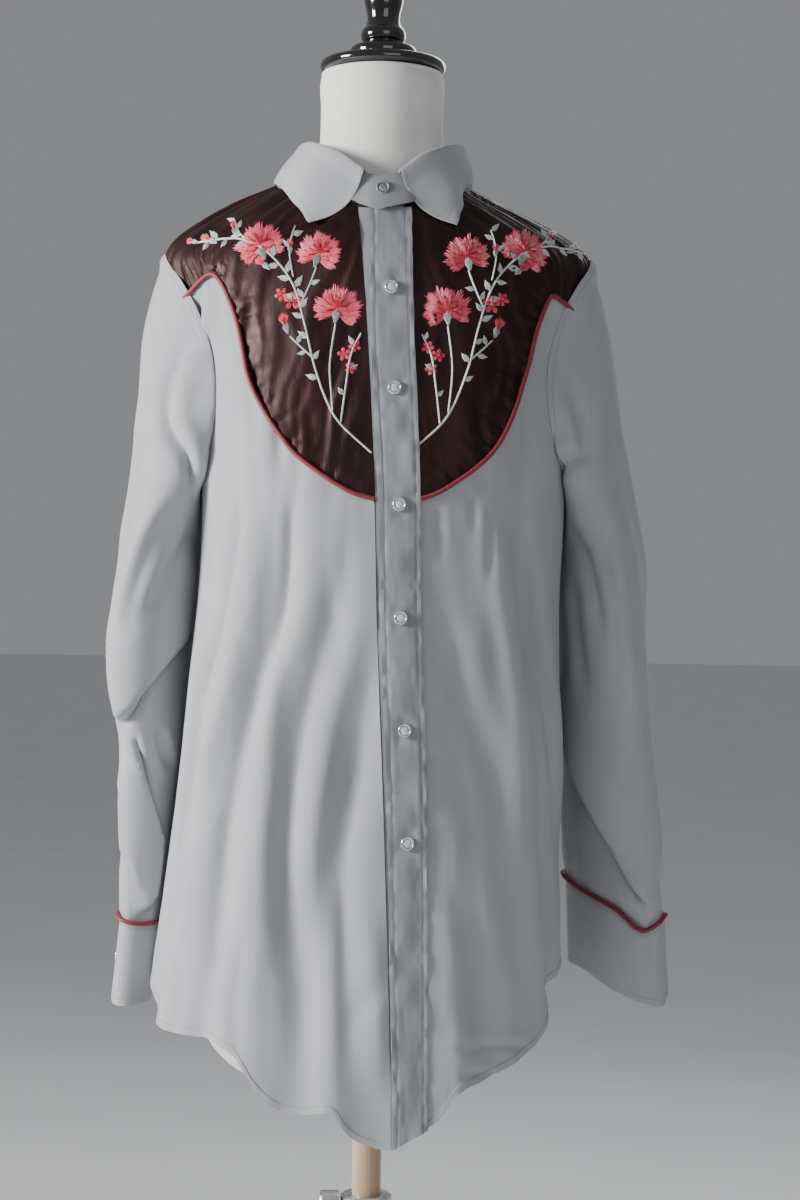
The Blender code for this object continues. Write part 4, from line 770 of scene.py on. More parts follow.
# Lumpy layers: size, lean in degrees to a metre, lumps in a full turn, height of one, seed.
BODY_LUMPS = ((0.0014, 30.0, 40, 0.150, 11), (0.0004, 20.0, 90, 0.060, 12),
              (0.00010, 0.0, 280, 0.012, 13))
YOKE_GATHERS = ((0.0017, 0.0, 100, 0.060 / 0.35, 14), (0.00085, 0.0, 180, 0.050 / 0.30, 18))
HEM_RIPPLES = ((0.0008, 0.0, 140, 0.040, 15),)
SIDE_PUCKERS = ((0.0004, 0.0, 60, 0.009, 16),)
SIDE_GROOVE = 0.0007
SLEEVE_LUMPS = ((0.0012, 60.0, 9, 0.090, 41), (0.0004, 0.0, 24, 0.030, 44))
CUFF_GATHERS = ((0.0016, 0.0, 40, 0.050 / 0.20, 47),)
ARMHOLE_PUCKERS = ((0.0005, 0.0, 60, 0.030, 50),)
CUFF_LUMPS = ((0.0006, 0.0, 9, 0.060, 61),)
CUFF_PUCKERS = ((0.0003, 0.0, 50, 0.010, 64),)
LEFT_CUFF_FOLDS = ((58.0, 11.0, 0.0026), (80.0, 9.0, -0.0026), (102.0, 11.0, 0.00208))
GROOVE = 0.00045              # how deep a line of stitches draws in the strip and the collar
CUFF_GROOVE = 0.00025
ARMHOLE_GROOVE = 0.0004
VELVET_RIDGE = 0.00135        # crushed pile: sharp ridges, fine ones, and broad lumps
VELVET_FINE = 0.00045
VELVET_BROAD = 0.0011
VELVET_GATHER = 0.00170       # beside the piped seam


def near_path(degrees, height, path, degree):
    """Distance to a path, positive on its left, and how far along the path it is, 0 to 1."""
    path = np.array(path, dtype=float)
    run = np.linspace(0.0, 1.0, len(path))
    if len(path) > 2:
        path = smooth_rows(np.column_stack((run, path)), np.linspace(0.0, 1.0, CREASE_POINTS))
    middle = path[:, 0].mean()
    across = wrapped(degrees - middle) * degree
    line = np.column_stack(((path[:, 0] - middle) * degree, path[:, 1]))
    best = np.full(across.shape, FAR)
    side = np.ones(across.shape)
    along = np.zeros(across.shape)
    steps = np.diff(line, axis=0)
    lengths = np.linalg.norm(steps, axis=1)
    reached = run_along(line) / lengths.sum()
    for k, step in enumerate(steps):
        off = (across - line[k, 0], height - line[k, 1])
        share = np.clip((off[0] * step[0] + off[1] * step[1]) / lengths[k] ** 2, 0.0, 1.0)
        away = np.hypot(off[0] - share * step[0], off[1] - share * step[1])
        closer = away < best
        best = np.where(closer, away, best)
        side = np.where(closer, np.sign(step[0] * off[1] - step[1] * off[0]), side)
        along = np.where(closer, reached[k] + share * lengths[k] / lengths.sum(), along)
    return best * side, along


def creases(degrees, height, table, degree):
    """How far a table of creases moves the cloth out."""
    total = np.zeros(np.broadcast(degrees, height).shape)
    for path, half_width, out, roll in table:
        distance, along = near_path(degrees, height, path, degree)
        s = distance / half_width
        strength = ease(along / 0.25) * ease((1.0 - along) / 0.35)
        profile = bell(s, 1.0) - 0.45 * bell(s * roll - 1.7, 1.1)      # a valley and its roll
        total = total + CREASE_DEPTH * out * strength * profile
    return total


def ledges(degrees, height, table, degree):
    """Overhanging edges: the cloth stands out on the path's left and falls back beyond."""
    total = np.zeros(np.broadcast(degrees, height).shape)
    for path, edge, reach, rise in table:
        distance, along = near_path(degrees, height, path, degree)
        strength = ease(along / 0.15) * ease((1.0 - along) / 0.15)
        step = 0.5 + 0.5 * np.tanh(distance / edge)
        fade = np.exp(-np.maximum(distance, 0.0) / reach)
        under = -0.45 * bell(distance + 2.2 * edge, 2.5 * edge)
        total = total + rise * strength * (step * fade + under)
    return total


def cloud(u, v, seed, period=64):
    """Smooth noise from -1 to 1 with one lump to a unit; it repeats along u."""
    lattice = np.random.default_rng(seed).uniform(-1.0, 1.0, (period, 64))
    left, low = np.floor(u).astype(int), np.floor(v).astype(int)
    s, t = ease(u - left), ease(v - low)

    def at(a, b):
        return lattice[(left + a) % period, (low + b) % 64]
    return (at(0, 0) * (1 - s) * (1 - t) + at(1, 0) * s * (1 - t)
            + at(0, 1) * (1 - s) * t + at(1, 1) * s * t)


def ring_cloud(degrees, height, cells, tall, seed):
    """The same round a body: cells lumps to a full turn, each so tall."""
    return cloud(degrees * cells / 360.0, height / tall, seed, cells)


def lumps(degrees, height, table, side=0):
    """The sum of a table of lumpy layers, with a seed of its own on each side."""
    total = np.zeros(np.broadcast(degrees, height).shape)
    for size, lean, cells, tall, seed in table:
        total = total + size * ring_cloud(degrees + lean * height, height, cells, tall,
                                           seed + side)
    return total


def seam_drop(degrees, height):
    """How far a place is below the yokes' piped seam, by height."""
    below = np.full(np.broadcast(degrees, height).shape, FAR)
    for line in SEAM_LINES.values():
        line = line[np.argsort(line[:, 0])]
        turned = np.degrees(line[:, 0])
        inside = (degrees > turned[0]) & (degrees < turned[-1])
        seam = np.interp(degrees, turned, line[:, 1])
        below = np.where(inside, seam - height, below)
    return below


def body_relief(degrees, height):
    """Small relief of the grey fronts and back."""
    out = creases(degrees, height, BODY_CREASES, BODY_DEGREE)
    out += lumps(degrees, height, BODY_LUMPS)
    drop = seam_drop(degrees, height)
    gathered = np.exp(-np.maximum(drop, 0.0) / 0.038) * ease(drop / 0.004)
    out += lumps(degrees, height, YOKE_GATHERS) * gathered
    above = height - smooth_rows(HEM, wrapped(degrees))[..., 0]
    out += lumps(degrees, height, HEM_RIPPLES) * np.exp(-above / 0.012)
    out += HEM_FOLD * ease((HEM_TURN + 0.0008 - above) / 0.0014)
    side = np.abs(np.abs(wrapped(degrees)) - 90.0) * BODY_DEGREE
    armpit = ARMHOLE_MIDDLE - ARMHOLE_HEIGHT / 2
    out -= SIDE_GROOVE * bell(side, 0.0018) * ease((armpit - height) / 0.01)
    puckers = lumps(side / BODY_DEGREE * 4.0, height, SIDE_PUCKERS)
    return out + puckers * bell(side, 0.010) * (height < armpit)


def beside_seam(degrees, height, side):
    """Distance from a yoke's piped seam, and the place along it, both in metres of cloth."""
    flat = (SEAM_LINES[side] * (GIRTH, 1.0))[::3]
    place = np.stack((np.radians(degrees) * GIRTH, height), axis=-1)
    away = np.linalg.norm(place[..., None, :] - flat, axis=-1)
    nearest = np.argmin(away, axis=-1)
    tangent = unit(flat[np.minimum(nearest + 1, len(flat) - 1)] - flat[np.maximum(nearest - 1, 0)])
    ahead = np.sum((place - flat[nearest]) * tangent, axis=-1)
    return np.min(away, axis=-1), run_along(flat)[nearest] + ahead


def velvet_relief(degrees, height, side):
    """Crushed pile: upright crinkles, and short gathers that run in from the piped seam."""
    near, along = beside_seam(degrees, height, side)
    lean = degrees + 55.0 * height * side + 2.4 * ring_cloud(degrees, height, 30, 0.045, 24)
    ridge = 1.0 - 2.2 * np.abs(ring_cloud(lean, height, 78, 0.070, 21))
    fine = ring_cloud(lean, height, 170, 0.030, 22)
    broad = ring_cloud(degrees + 40.0 * height, height, 36, 0.080, 23)
    patchy = 0.45 + 0.55 * ease(0.5 + 0.9 * ring_cloud(degrees, height, 24, 0.060, 25))
    out = patchy * (VELVET_RIDGE * ridge + VELVET_FINE * fine) + VELVET_BROAD * broad
    gather = 1.0 - 2.4 * np.abs(cloud(along / 0.0068 + 3.0, near / 0.022, 26, 256))
    gather = gather + 0.5 * cloud(along / 0.0035, near / 0.014, 27, 256)
    out = out + VELVET_GATHER * gather * np.exp(-(near / 0.018) ** 1.5)
    return out * ease(near / 0.003)


# ---------------------------------------------------------------- fine grids of the pieces
def finer(rows, count):
    """Smooth rows through a few given rows of points, spaced evenly down the cloth."""
    rows = np.array(rows)
    run = run_down(rows).mean(axis=1)
    table = np.column_stack((run, rows.reshape(len(rows), -1)))
    return smooth_rows(table, np.linspace(0.0, run[-1], count)).reshape(count, -1, 3)


def dense_foot(patch, rows, count):
    """The patch with its last rows drawn as more, for the turned-up hem."""
    last = len(patch) - 1
    at = np.concatenate((np.arange(last - rows), np.linspace(last - rows, last, count)))
    low = np.minimum(at.astype(int), last - 1)
    share = (at - low)[:, None, None]
    return patch[low] * (1 - share) + patch[low + 1] * share


def normals_of(grid, closed=False):
    """Unit vectors square to a grid, on the side that its faces look to."""
    down = np.gradient(grid, axis=0)
    if closed:
        across = np.roll(grid, -1, axis=1) - np.roll(grid, 1, axis=1)
    else:
        across = np.gradient(grid, axis=1)
    normal = np.cross(down, across)
    return normal / np.maximum(np.linalg.norm(normal, axis=-1, keepdims=True), 1e-12)


def body_grid(patch, relief):
    angle, height = patch[..., 0], patch[..., 1]
    return body_point(angle, height, relief(np.degrees(angle), height))


def placket_relief(width, height):
    """The stitched strip: its two topstitched channels and the puckers round each snap."""
    share = np.linspace(0.0, 1.0, width.shape[1])[None, :]
    side = np.minimum(share, 1.0 - share) * width
    out = -GROOVE * bell(side - PLACKET_STITCH, 0.0010)
    out += 0.00080 * cloud(share * 9.0, height / 0.009, 31) * np.exp(-side / 0.007)
    out += 0.00105 * cloud(share * 2.5 + 7.0, height / 0.024, 32)
    for number, snap in enumerate(SNAP_HEIGHTS):
        aside, up = (share - 0.5) * width, height - snap
        away = np.hypot(aside, up)
        turn = np.arctan2(up, aside)
        out -= 0.0006 * bell(away - 0.0075, 0.0030)
        out += 0.0005 * np.cos(3 * turn + number) * bell(away - 0.0110, 0.0055)
    return out


def turns_like(rows):
    """The turn in degrees of each place on closed rows."""
    return np.linspace(0.0, 360.0, rows.shape[1], endpoint=False)[None, :] + 0 * rows[..., 2]


def sleeve_grid(side):
    rows = finer(sleeve_rings(side, SLEEVE_TURNS), SLEEVE_ROWS)
    turns, height = turns_like(rows), rows[..., 2]
    out = creases(turns, height, SLEEVE_CREASES[side], SLEEVE_DEGREE)
    out += ledges(turns, height, SLEEVE_LEDGES[side], SLEEVE_DEGREE)
    out += lumps(turns, height, SLEEVE_LUMPS, side)
    fallen = run_down(rows)
    left = fallen[-1:] - fallen
    gathered = np.exp(-left / 0.022) * ease(left / 0.003)
    out += lumps(turns, height, CUFF_GATHERS, side) * gathered
    out += lumps(turns, height, ARMHOLE_PUCKERS, side) * np.exp(-fallen / 0.012)
    out -= ARMHOLE_GROOVE * bell(fallen - ARMHOLE_STITCH, 0.0015)
    out *= ease(fallen / 0.004) * 0.85 + 0.15
    outward = normals_of(rows, True) * -side
    moved = dipped(rows + outward * out[..., None], turns, side)
    clearances = np.linspace(SLEEVE_CLEAR, CUFF_CLEAR, SLEEVE_ROWS)
    held = [moved[0]] + [clear_of_body(r, c) for r, c in zip(moved[1:], clearances[1:])]
    return np.array(held)


def bumps(turns, table):
    """A sum of smooth bumps round a ring, each with its middle, reach and size."""
    total = np.zeros(turns.shape)
    for middle, reach, size in table:
        total += size * bell(wrapped(turns - middle), reach)
    return total


def dipped(rows, turns, side):
    """The top of the cuff and the sleeve's end hang lower in places."""
    near_top = ease(1.0 - np.abs(CUFF_TOP[side] - 0.010 - rows[..., 2]) / 0.070)
    return rows - (bumps(turns, CUFF_DIPS[side]) * near_top)[..., None] * (0.0, 0.0, 1.0)


def rounded_corners(rows, turns, side):
    """The cuff's lower edge turns up at the corners of the flattened cuff."""
    near_foot = ease((CUFF_TOP[side] - 0.045 - rows[..., 2]) / 0.040)
    return rows + (bumps(turns, CUFF_CORNERS[side]) * near_foot)[..., None] * (0.0, 0.0, 1.0)


def cuff_grid(side):
    rows = finer(cuff_rings(side, CUFF_TURNS), CUFF_ROWS)
    turns, height = turns_like(rows), rows[..., 2]
    down = np.linspace(0.0, 1.0, CUFF_ROWS)[:, None]
    drop = down * CUFF_TALL
    out = lumps(turns, height, CUFF_LUMPS, side)
    if side > 0:
        out += bumps(turns, LEFT_CUFF_FOLDS) * (1.0 - 0.5 * down)
    for edge in (CUFF_STITCH, CUFF_TALL - CUFF_STITCH):
        out -= CUFF_GROOVE * bell(drop - edge, 0.0011)
    out += lumps(turns, height, CUFF_PUCKERS, side) * (1 - ease(drop / 0.01))
    rows = rows + normals_of(rows, True) * -side * out[..., None]
    return rounded_corners(dipped(rows, turns, side), turns, side)


def collar_grid():
    rows = finer(collar_rows(*COLLAR_CELLS), COLLAR_ROWS)
    share = np.linspace(-1.0, 1.0, rows.shape[1])[None, :]
    fallen = run_down(rows)
    left = fallen[-1:] - fallen
    end = (1.0 - np.abs(share)) * COLLAR_LONG / 2
    out = 0.0007 * cloud(share * 7.0 + 9.0, fallen / 0.030, 71)
    for edge in (left, end):
        out = out - GROOVE * bell(edge - COLLAR_STITCH, 0.0013)
    return rows + normals_of(rows) * out[..., None]


def band_grid():
    """The band, with its foot drawn down to the necklines and over the top strip's end."""
    rows = np.array(band_rows(*BAND_CELLS))
    angle, lap = band_run(BAND_CELLS[0])
    middle, reach, fade = STRIP_END
    over = ease((reach - np.abs(wrapped(np.degrees(angle)) - middle)) / fade)
    foot = body_point(angle, neck_height(angle) - FOOT_DROP[0] - FOOT_DROP[1] * over,
                      lap * (1.0 - over) + FOOT_OUT[0] + FOOT_OUT[1] * over)
    down = np.linspace(0.0, 1.0, len(rows))[:, None, None]
    rows = rows + (foot - rows[-1]) * down ** 1.3
    share = np.linspace(0.0, 1.0, rows.shape[1])[None, :]
    out = 0.0003 * cloud(share * 22.0, np.arange(len(rows))[:, None] / 4.0, 75)
    return rows - normals_of(rows) * out[..., None]


# ---------------------------------------------------------------- meshes
def grid_faces(rows, columns, closed, start=0):
    i, j = np.meshgrid(np.arange(rows - 1), np.arange(columns - (not closed)), indexing="ij")
    k = (j + 1) % columns
    quads = np.stack((i * columns + j, (i + 1) * columns + j,
                      (i + 1) * columns + k, i * columns + k), axis=-1)
    return quads.reshape(-1, 4) + start


def new_object(name, points, faces, finishes, indices=None, sharp=50.0):
    mesh = bpy.data.meshes.new(name)
    mesh.from_pydata(np.asarray(points).tolist(), [], [tuple(f) for f in faces])
    for finish in finishes:
        mesh.materials.append(finish)
    if indices is not None:
        mesh.polygons.foreach_set("material_index", np.asarray(indices, dtype=np.int32))
    mesh.shade_smooth()
    mesh.set_sharp_from_angle(angle=math.radians(sharp))
    obj = bpy.data.objects.new(name, mesh)
    bpy.context.scene.collection.objects.link(obj)
    return obj


def cloth(name, grid, wall, finish, closed=False, flip=False):
    """A piece of cloth from its inner face: two layers a wall apart, joined round the rim."""
    rows, columns = grid.shape[:2]
    outer = grid + normals_of(grid, closed) * (-wall if flip else wall)
    count = rows * columns
    front = grid_faces(rows, columns, closed)
    behind = grid_faces(rows, columns, closed, count)[:, ::-1]
    rims = []
    index = np.arange(count).reshape(rows, columns)
    edges = [index[0][::-1], index[-1]]
    if not closed:
        edges += [index[:, 0], index[::-1, -1]]
    for edge in edges:
        after = np.roll(edge, -1) if closed else edge[1:]
        before = edge if closed else edge[:-1]
        rims.append(np.stack((before, before + count, after + count, after), axis=-1))
    faces = np.concatenate([front, behind] + rims)
    if flip:
        faces = faces[:, ::-1]
    points = np.concatenate((outer.reshape(-1, 3), grid.reshape(-1, 3)))
    obj = new_object(name, points, faces.tolist(), [finish])
    surfaces[name] = outer
    return obj


def solid_of_rings(rings, closed_ends=True, start=0):
    """Points and faces of a solid through closed rings, with a fan over each end."""
    rings = np.asarray(rings)
    rows, columns = rings.shape[:2]
    faces = grid_faces(rows, columns, True, start).tolist()
    points = rings.reshape(-1, 3)
    if closed_ends:
        ends = [rings[0].mean(axis=0), rings[-1].mean(axis=0)]
        points = np.concatenate((points, ends))
        last = (rows - 1) * columns
        for j in range(columns):
            k = (j + 1) % columns
            faces.append((start + j, start + k, start + rows * columns))
            faces.append((start + last + k, start + last + j, start + rows * columns + 1))
    return points, faces


def lathe(profile, steps, place=(0.0, 0.0, 0.0), facing=(0.0, 0.0, 1.0)):
    """Points of rings turned from a profile of (radius, height) that runs down outside."""
    turn = np.linspace(0.0, 2 * math.pi, steps, endpoint=False)
    axes = np.array(Vector(facing).to_track_quat("Z", "Y").to_matrix())
    around = np.stack((np.cos(turn), np.sin(turn), np.zeros(steps)), axis=-1)
    upward = np.array((0.0, 0.0, 1.0))
    rings = [around * max(radius, POINT_RADIUS) + upward * height for radius, height in profile]
    return np.array(rings) @ axes.T + np.asarray(place)


def rounded(profile, per=5, share=0.30):
    """The profile with each corner eased by a short curve."""
    points = [np.array(p, dtype=float) for p in profile]
    made = [points[0]]
    for before, corner, after in zip(points, points[1:], points[2:]):
        a = corner + (before - corner) * share
        b = corner + (after - corner) * share
        for t in np.linspace(0.0, 1.0, per):
            made.append((1 - t) ** 2 * a + 2 * t * (1 - t) * corner + t * t * b)
    made.append(points[-1])
    return made


def rope(points, outward, radius, closed=False):
    """Rings of a twisted three-strand cord along a line."""
    if closed:
        points, outward = np.vstack((points, points[:1])), np.vstack((outward, outward[:1]))
    run = run_along(points)
    length = run[-1]
    at = np.linspace(0.0, length, int(length / ROPE_STEP), endpoint=not closed)
    line = smooth_rows(np.column_stack((run, points, outward)), at)
    centre, out = line[:, :3], line[:, 3:]
    if closed:
        twist = 2 * math.pi * round(length / ROPE_LAY) / length
        tangent = unit(np.roll(centre, -1, axis=0) - np.roll(centre, 1, axis=0))
    else:
        twist = 2 * math.pi / ROPE_LAY
        tangent = unit(np.gradient(centre, axis=0))
    side = unit(np.cross(tangent, out))
    out = np.cross(side, tangent)
    turn = np.linspace(0.0, 2 * math.pi, ROPE_SIDES, endpoint=False)[None, :]
    strand = np.abs(np.cos(1.5 * (turn - twist * at[:, None])))
    reach = (radius * (0.80 + 0.20 * strand ** 0.8))[..., None]
    return (centre[:, None] + reach * (np.cos(turn)[..., None] * out[:, None]
                                       + np.sin(turn)[..., None] * side[:, None]))


def edge_line(grid, edge, inset, closed=False, flip=False):
    """A line on a piece's outer face at a distance in from one of its edges, and its normals."""
    normal = normals_of(grid, closed) * (-1.0 if flip else 1.0)
    if edge in ("first", "last"):
        grid, normal = grid.transpose(1, 0, 2), normal.transpose(1, 0, 2)
    if edge in ("bottom", "last"):
        grid, normal = grid[::-1], normal[::-1]
    run = run_down(grid)
    columns = range(grid.shape[1])
    return (np.array([between(inset, run[:, j], grid[:, j]) for j in columns]),
            np.array([between(inset, run[:, j], normal[:, j]) for j in columns]))


def add_stitches(line, away, trim=0.0, closed=False):
    """A row of stitches along a line: small rounded bars, lying on the cloth."""
    if closed:
        line, away = np.vstack((line, line[:1])), np.vstack((away, away[:1]))
    run = run_along(line)
    length = run[-1] - 2 * trim
    count = max(1, int(length / STITCH_PITCH))
    for at in trim + (np.arange(count) + 0.5) * length / count:
        start, end = (between(at + offset * STITCH_LONG, run, line) for offset in (-0.5, 0.5))
        out, along = unit(between(at, run, away)), unit(end - start)
        side = np.cross(along, out) * STITCH_RADIUS
        up = out * STITCH_RADIUS
        taper = along * STITCH_RADIUS * 1.5
        ring = [start]
        for centre in (start + taper, end - taper):
            ring += [centre + side, centre + up, centre - side, centre - up]
        ring.append(end)
        base = len(stitch_points)
        stitch_points.extend(p + out * STITCH_RADIUS * 0.4 for p in ring)
        for k in range(4):
            n = (k + 1) % 4
            stitch_faces.append((base, base + 1 + n, base + 1 + k))
            stitch_faces.append((base + 1 + k, base + 1 + n, base + 5 + n, base + 5 + k))
            stitch_faces.append((base + 9, base + 5 + k, base + 5 + n))


# ---------------------------------------------------------------- embroidery
CORAL, CRIMSON, PINK, SILVER, WHITE = range(5)
STEM_STEP = 0.0021            # between the threads of a stem, which each lie slanted by so much
STEM_SLANT = 0.00022
THREAD_LIFT = 0.0001          # off the pile, and each of so many layers a little higher
THREAD_LAYERS = 7
THREAD_LAYER = 0.00002


def add_thread(start, end, width, tall, colour):
    """One lying thread between two places on the yoke's flat: across from the closure, height."""
    threads.append((*start, *end, width, tall, colour))


def heading(lean):
    """The direction on the flat that leans by an angle from upright."""
    return np.array((math.sin(lean), math.cos(lean)))


def fan(centre, up, spread, inner, outer, count, width, colour, ragged=0.0, tall=0.0005):
    """Threads spread out from a centre, like one petal."""
    for k in range(count):
        share = (k + 0.5) / count - 0.5
        bulge = 1.0 - 1.1 * share * share
        reach = outer * bulge * (1.0 + ragged * rng.uniform(-1.0, 1.0))
        direction = heading(up + share * spread)
        add_thread(centre + direction * inner, centre + direction * reach, width, tall, colour)


def carnation(centre, lean, radius):
    """A fringed bloom, wider than tall: layers of ragged petals spread from its calyx."""
    up = heading(lean)
    origin = np.array(centre) - up * radius * 0.34
    for turn in np.radians(np.linspace(-108.0, 108.0, 10)):
        turn = turn + rng.uniform(-0.05, 0.05)
        reach = radius * rng.uniform(0.96, 1.04) * (0.98 + 0.26 * math.cos(turn))
        fan(origin, lean + turn, 0.58, radius * 0.10, reach, 14, 0.0012, CORAL, 0.085)
        fan(origin, lean + turn + 0.05, 0.44, radius * 0.55, reach * 0.97, 6, 0.0009, PINK,
            0.16, 0.0007)
        fan(origin, lean + turn + 0.24, 0.10, radius * 0.12, reach * 0.82, 2, 0.0009, CRIMSON,
            0.10, 0.0009)
    heart = origin + up * radius * 0.22
    for turn in np.radians(np.linspace(-92.0, 92.0, 6)):
        turn = lean + turn + rng.uniform(-0.12, 0.12)
        fan(heart, turn, 0.62, 0.0005, radius * 0.66, 9, 0.0012, CORAL, 0.16, 0.0011)
        fan(heart, turn + 0.08, 0.34, radius * 0.24, radius * 0.62, 3, 0.0009, PINK, 0.20, 0.0013)
        fan(heart, turn + 0.34, 0.16, 0.0005, radius * 0.54, 3, 0.0010, CRIMSON, 0.16, 0.0013)
    fan(heart, lean, 2.20, 0.0003, radius * 0.34, 12, 0.0011, CORAL, 0.20, 0.0015)
    foot = origin - up * radius * 0.46
    fan(foot, lean, 0.80, 0.0, radius * 0.62, 10, 0.0012, SILVER, 0.05, 0.0014)


def blossom(centre, lean, radius):
    """A small flower of five petals."""
    centre = np.array(centre)
    for k in range(5):
        turn = lean + k * 2 * math.pi / 5
        fan(centre, turn, 0.80, radius * 0.16, radius, 6, 0.0011, CORAL, 0.05, 0.0006)
        fan(centre, turn, 0.20, radius * 0.10, radius * 0.55, 2, 0.0008, CRIMSON, 0.10, 0.0009)
    fan(centre, lean, 2 * math.pi, 0.0002, radius * 0.22, 6, 0.0008, PINK, 0.0, 0.0012)


def bud(foot, lean, size):
    """A closed bud that stands in its silver calyx."""
    foot = np.array(foot)
    heart = foot + heading(lean) * size * 0.40
    fan(heart, lean, 1.10, 0.0, size * 0.75, 8, 0.0013, CORAL, 0.07, 0.0007)
    fan(heart, lean, 0.40, 0.0, size * 0.50, 3, 0.0009, CRIMSON, 0.10, 0.0010)
    fan(foot, lean, 0.90, 0.0, size * 0.62, 6, 0.0011, SILVER, 0.06, 0.0010)


def leaf(foot, lean, size):
    """Five lying threads, the longest in the middle."""
    foot = np.array(foot)
    direction = heading(lean)
    side = np.array((direction[1], -direction[0]))
    for k in (-2, -1, 0, 1, 2):
        start = foot + direction * size * 0.12 * abs(k) + side * k * size * 0.085
        end = foot + direction * size * (1.0 - 0.14 * abs(k)) + side * k * size * 0.060
        add_thread(start, end, 0.0013, 0.0008, SILVER if k else WHITE)


def stem(path, width):
    """A stem stitched along a smooth path; gives back its places."""
    run = run_along(path)
    line = smooth_rows(np.column_stack((run, path)), np.arange(0.0, run[-1], STEM_STEP))
    for k in range(len(line) - 2):
        ahead = unit(line[k + 1] - line[k])
        side = np.array((ahead[1], -ahead[0])) * STEM_SLANT
        add_thread(line[k] - side, line[k + 2] + side, width, 0.0010, WHITE)
    return line


def leaves_along(line, first, last, gap, size):
    """Pairs of small leaves by turns on both sides of a stem."""
    at = first
    side = 1
    while at < last:
        k = min(int(at * (len(line) - 1)), len(line) - 2)
        ahead = line[k + 1] - line[k]
        lean = math.atan2(ahead[0], ahead[1]) + side * rng.uniform(0.70, 1.05)
        leaf(line[k], lean, size * rng.uniform(0.85, 1.15))
        side = -side
        at += gap * rng.uniform(0.85, 1.15)


# One yoke's spray in its own flat: distance out from the closure, height. Each stem has its
# width and path; leaves grow along a stem from one share of it to another, so far apart and
# so long; and each flower has its place, lean and size.
STEMS = {
    "main": (0.0017, ((-0.007, 1.174), (0.025, 1.205), (0.042, 1.245), (0.052, 1.285),
                      (0.066, 1.325), (0.088, 1.350), (0.115, 1.362), (0.150, 1.361))),
    "second": (0.0015, ((0.027, 1.210), (0.030, 1.250), (0.0255, 1.287))),
    "twig": (0.0015, ((0.020, 1.200), (0.016, 1.232), (0.011, 1.262), (0.003, 1.279))),
    "sprig": (0.0013, ((0.063, 1.326), (0.067, 1.352), (0.062, 1.375))),
    "tip": (0.0013, ((0.104, 1.358), (0.113, 1.370), (0.118, 1.384))),
    "branch": (0.0015, ((0.057, 1.300), (0.049, 1.318), (0.0425, 1.336))),
    "arm": (0.0015, ((0.045, 1.256), (0.058, 1.268), (0.066, 1.276)))}
LEAVES = (("main", 0.30, 0.44, 0.060, 0.0110), ("main", 0.50, 0.99, 0.034, 0.0120),
          ("sprig", 0.60, 1.00, 0.20, 0.0095), ("tip", 0.30, 1.00, 0.30, 0.0100),
          ("twig", 0.30, 0.98, 0.30, 0.0090), ("arm", 0.30, 0.80, 0.35, 0.0095),
          ("branch", 0.25, 0.70, 0.30, 0.0105))
FLOWERS = (
    (carnation, (0.024, 1.301), -0.15, 0.0205), (carnation, (0.041, 1.349), -0.25, 0.0195),
    (carnation, (0.093, 1.357), 0.35, 0.0210), (blossom, (0.063, 1.305), 0.0, 0.0085),
    (blossom, (0.073, 1.311), 0.6, 0.0065), (bud, (0.066, 1.347), 0.10, 0.0120),
    (blossom, (0.018, 1.259), 0.2, 0.0062), (blossom, (0.012, 1.247), 0.9, 0.0056),
    (blossom, (0.009, 1.266), 0.5, 0.0058), (bud, (0.066, 1.276), 0.30, 0.0175),
    (bud, (0.083, 1.333), 0.85, 0.0150), (bud, (0.131, 1.359), 1.10, 0.0155),
    (bud, (0.116, 1.366), 0.10, 0.0120), (bud, (0.148, 1.361), 1.30, 0.0110))


def draw_spray():
    """The threads of one yoke's spray of blooms."""
    threads.clear()
    lines = {name: stem(path, width) for name, (width, path) in STEMS.items()}
    for name, first, last, gap, size in LEAVES:
        leaves_along(lines[name], first, last, gap, size)
    for flower, place, lean, size in FLOWERS:
        flower(place, lean, size)


def embroider(name, side, finishes):
    """The spray on one yoke: each thread is a small tapered bar on the velvet."""
    draw_spray()
    rows = np.array(threads)
    start, end = rows[:, 0:2], rows[:, 2:4]
    along = end - start
    length = np.linalg.norm(along, axis=1, keepdims=True)
    across = np.stack((along[:, 1], -along[:, 0]), axis=-1) / length * rows[:, 4:5] / 2
    low, high = start + along * 0.22, start + along * 0.82
    zero, tall = np.zeros(len(rows)), rows[:, 5]
    corners = ((start, zero), (low + across, zero), (low - across, zero), (high + across, zero),
               (high - across, zero), (end, zero), (low, tall), (high, tall))
    flat = np.stack([np.column_stack((place, out)) for place, out in corners], axis=1)
    height = flat[..., 1]
    angle = angle_at(EMBROIDERY_START[side] + side * flat[..., 0], height)
    relief = velvet_relief(np.degrees(angle), height, side)
    layer = np.arange(len(rows))[:, None] % THREAD_LAYERS * THREAD_LAYER
    points = body_point(angle, height, CLOTH + relief + flat[..., 2] + layer + THREAD_LIFT)
    faces, indices = [], []
    shape = ((0, 1, 6), (0, 6, 2), (1, 3, 7, 6), (2, 6, 7, 4), (3, 5, 7), (4, 7, 5),
             (0, 2, 4, 5, 3, 1))
    for k, colour in enumerate(rows[:, 6].astype(int)):
        for face in shape:
            face = face if side > 0 else face[::-1]
            faces.append(tuple(8 * k + c for c in face))
            indices.append(colour)
    return new_object(name, points.reshape(-1, 3), faces, finishes, indices, 35.0)


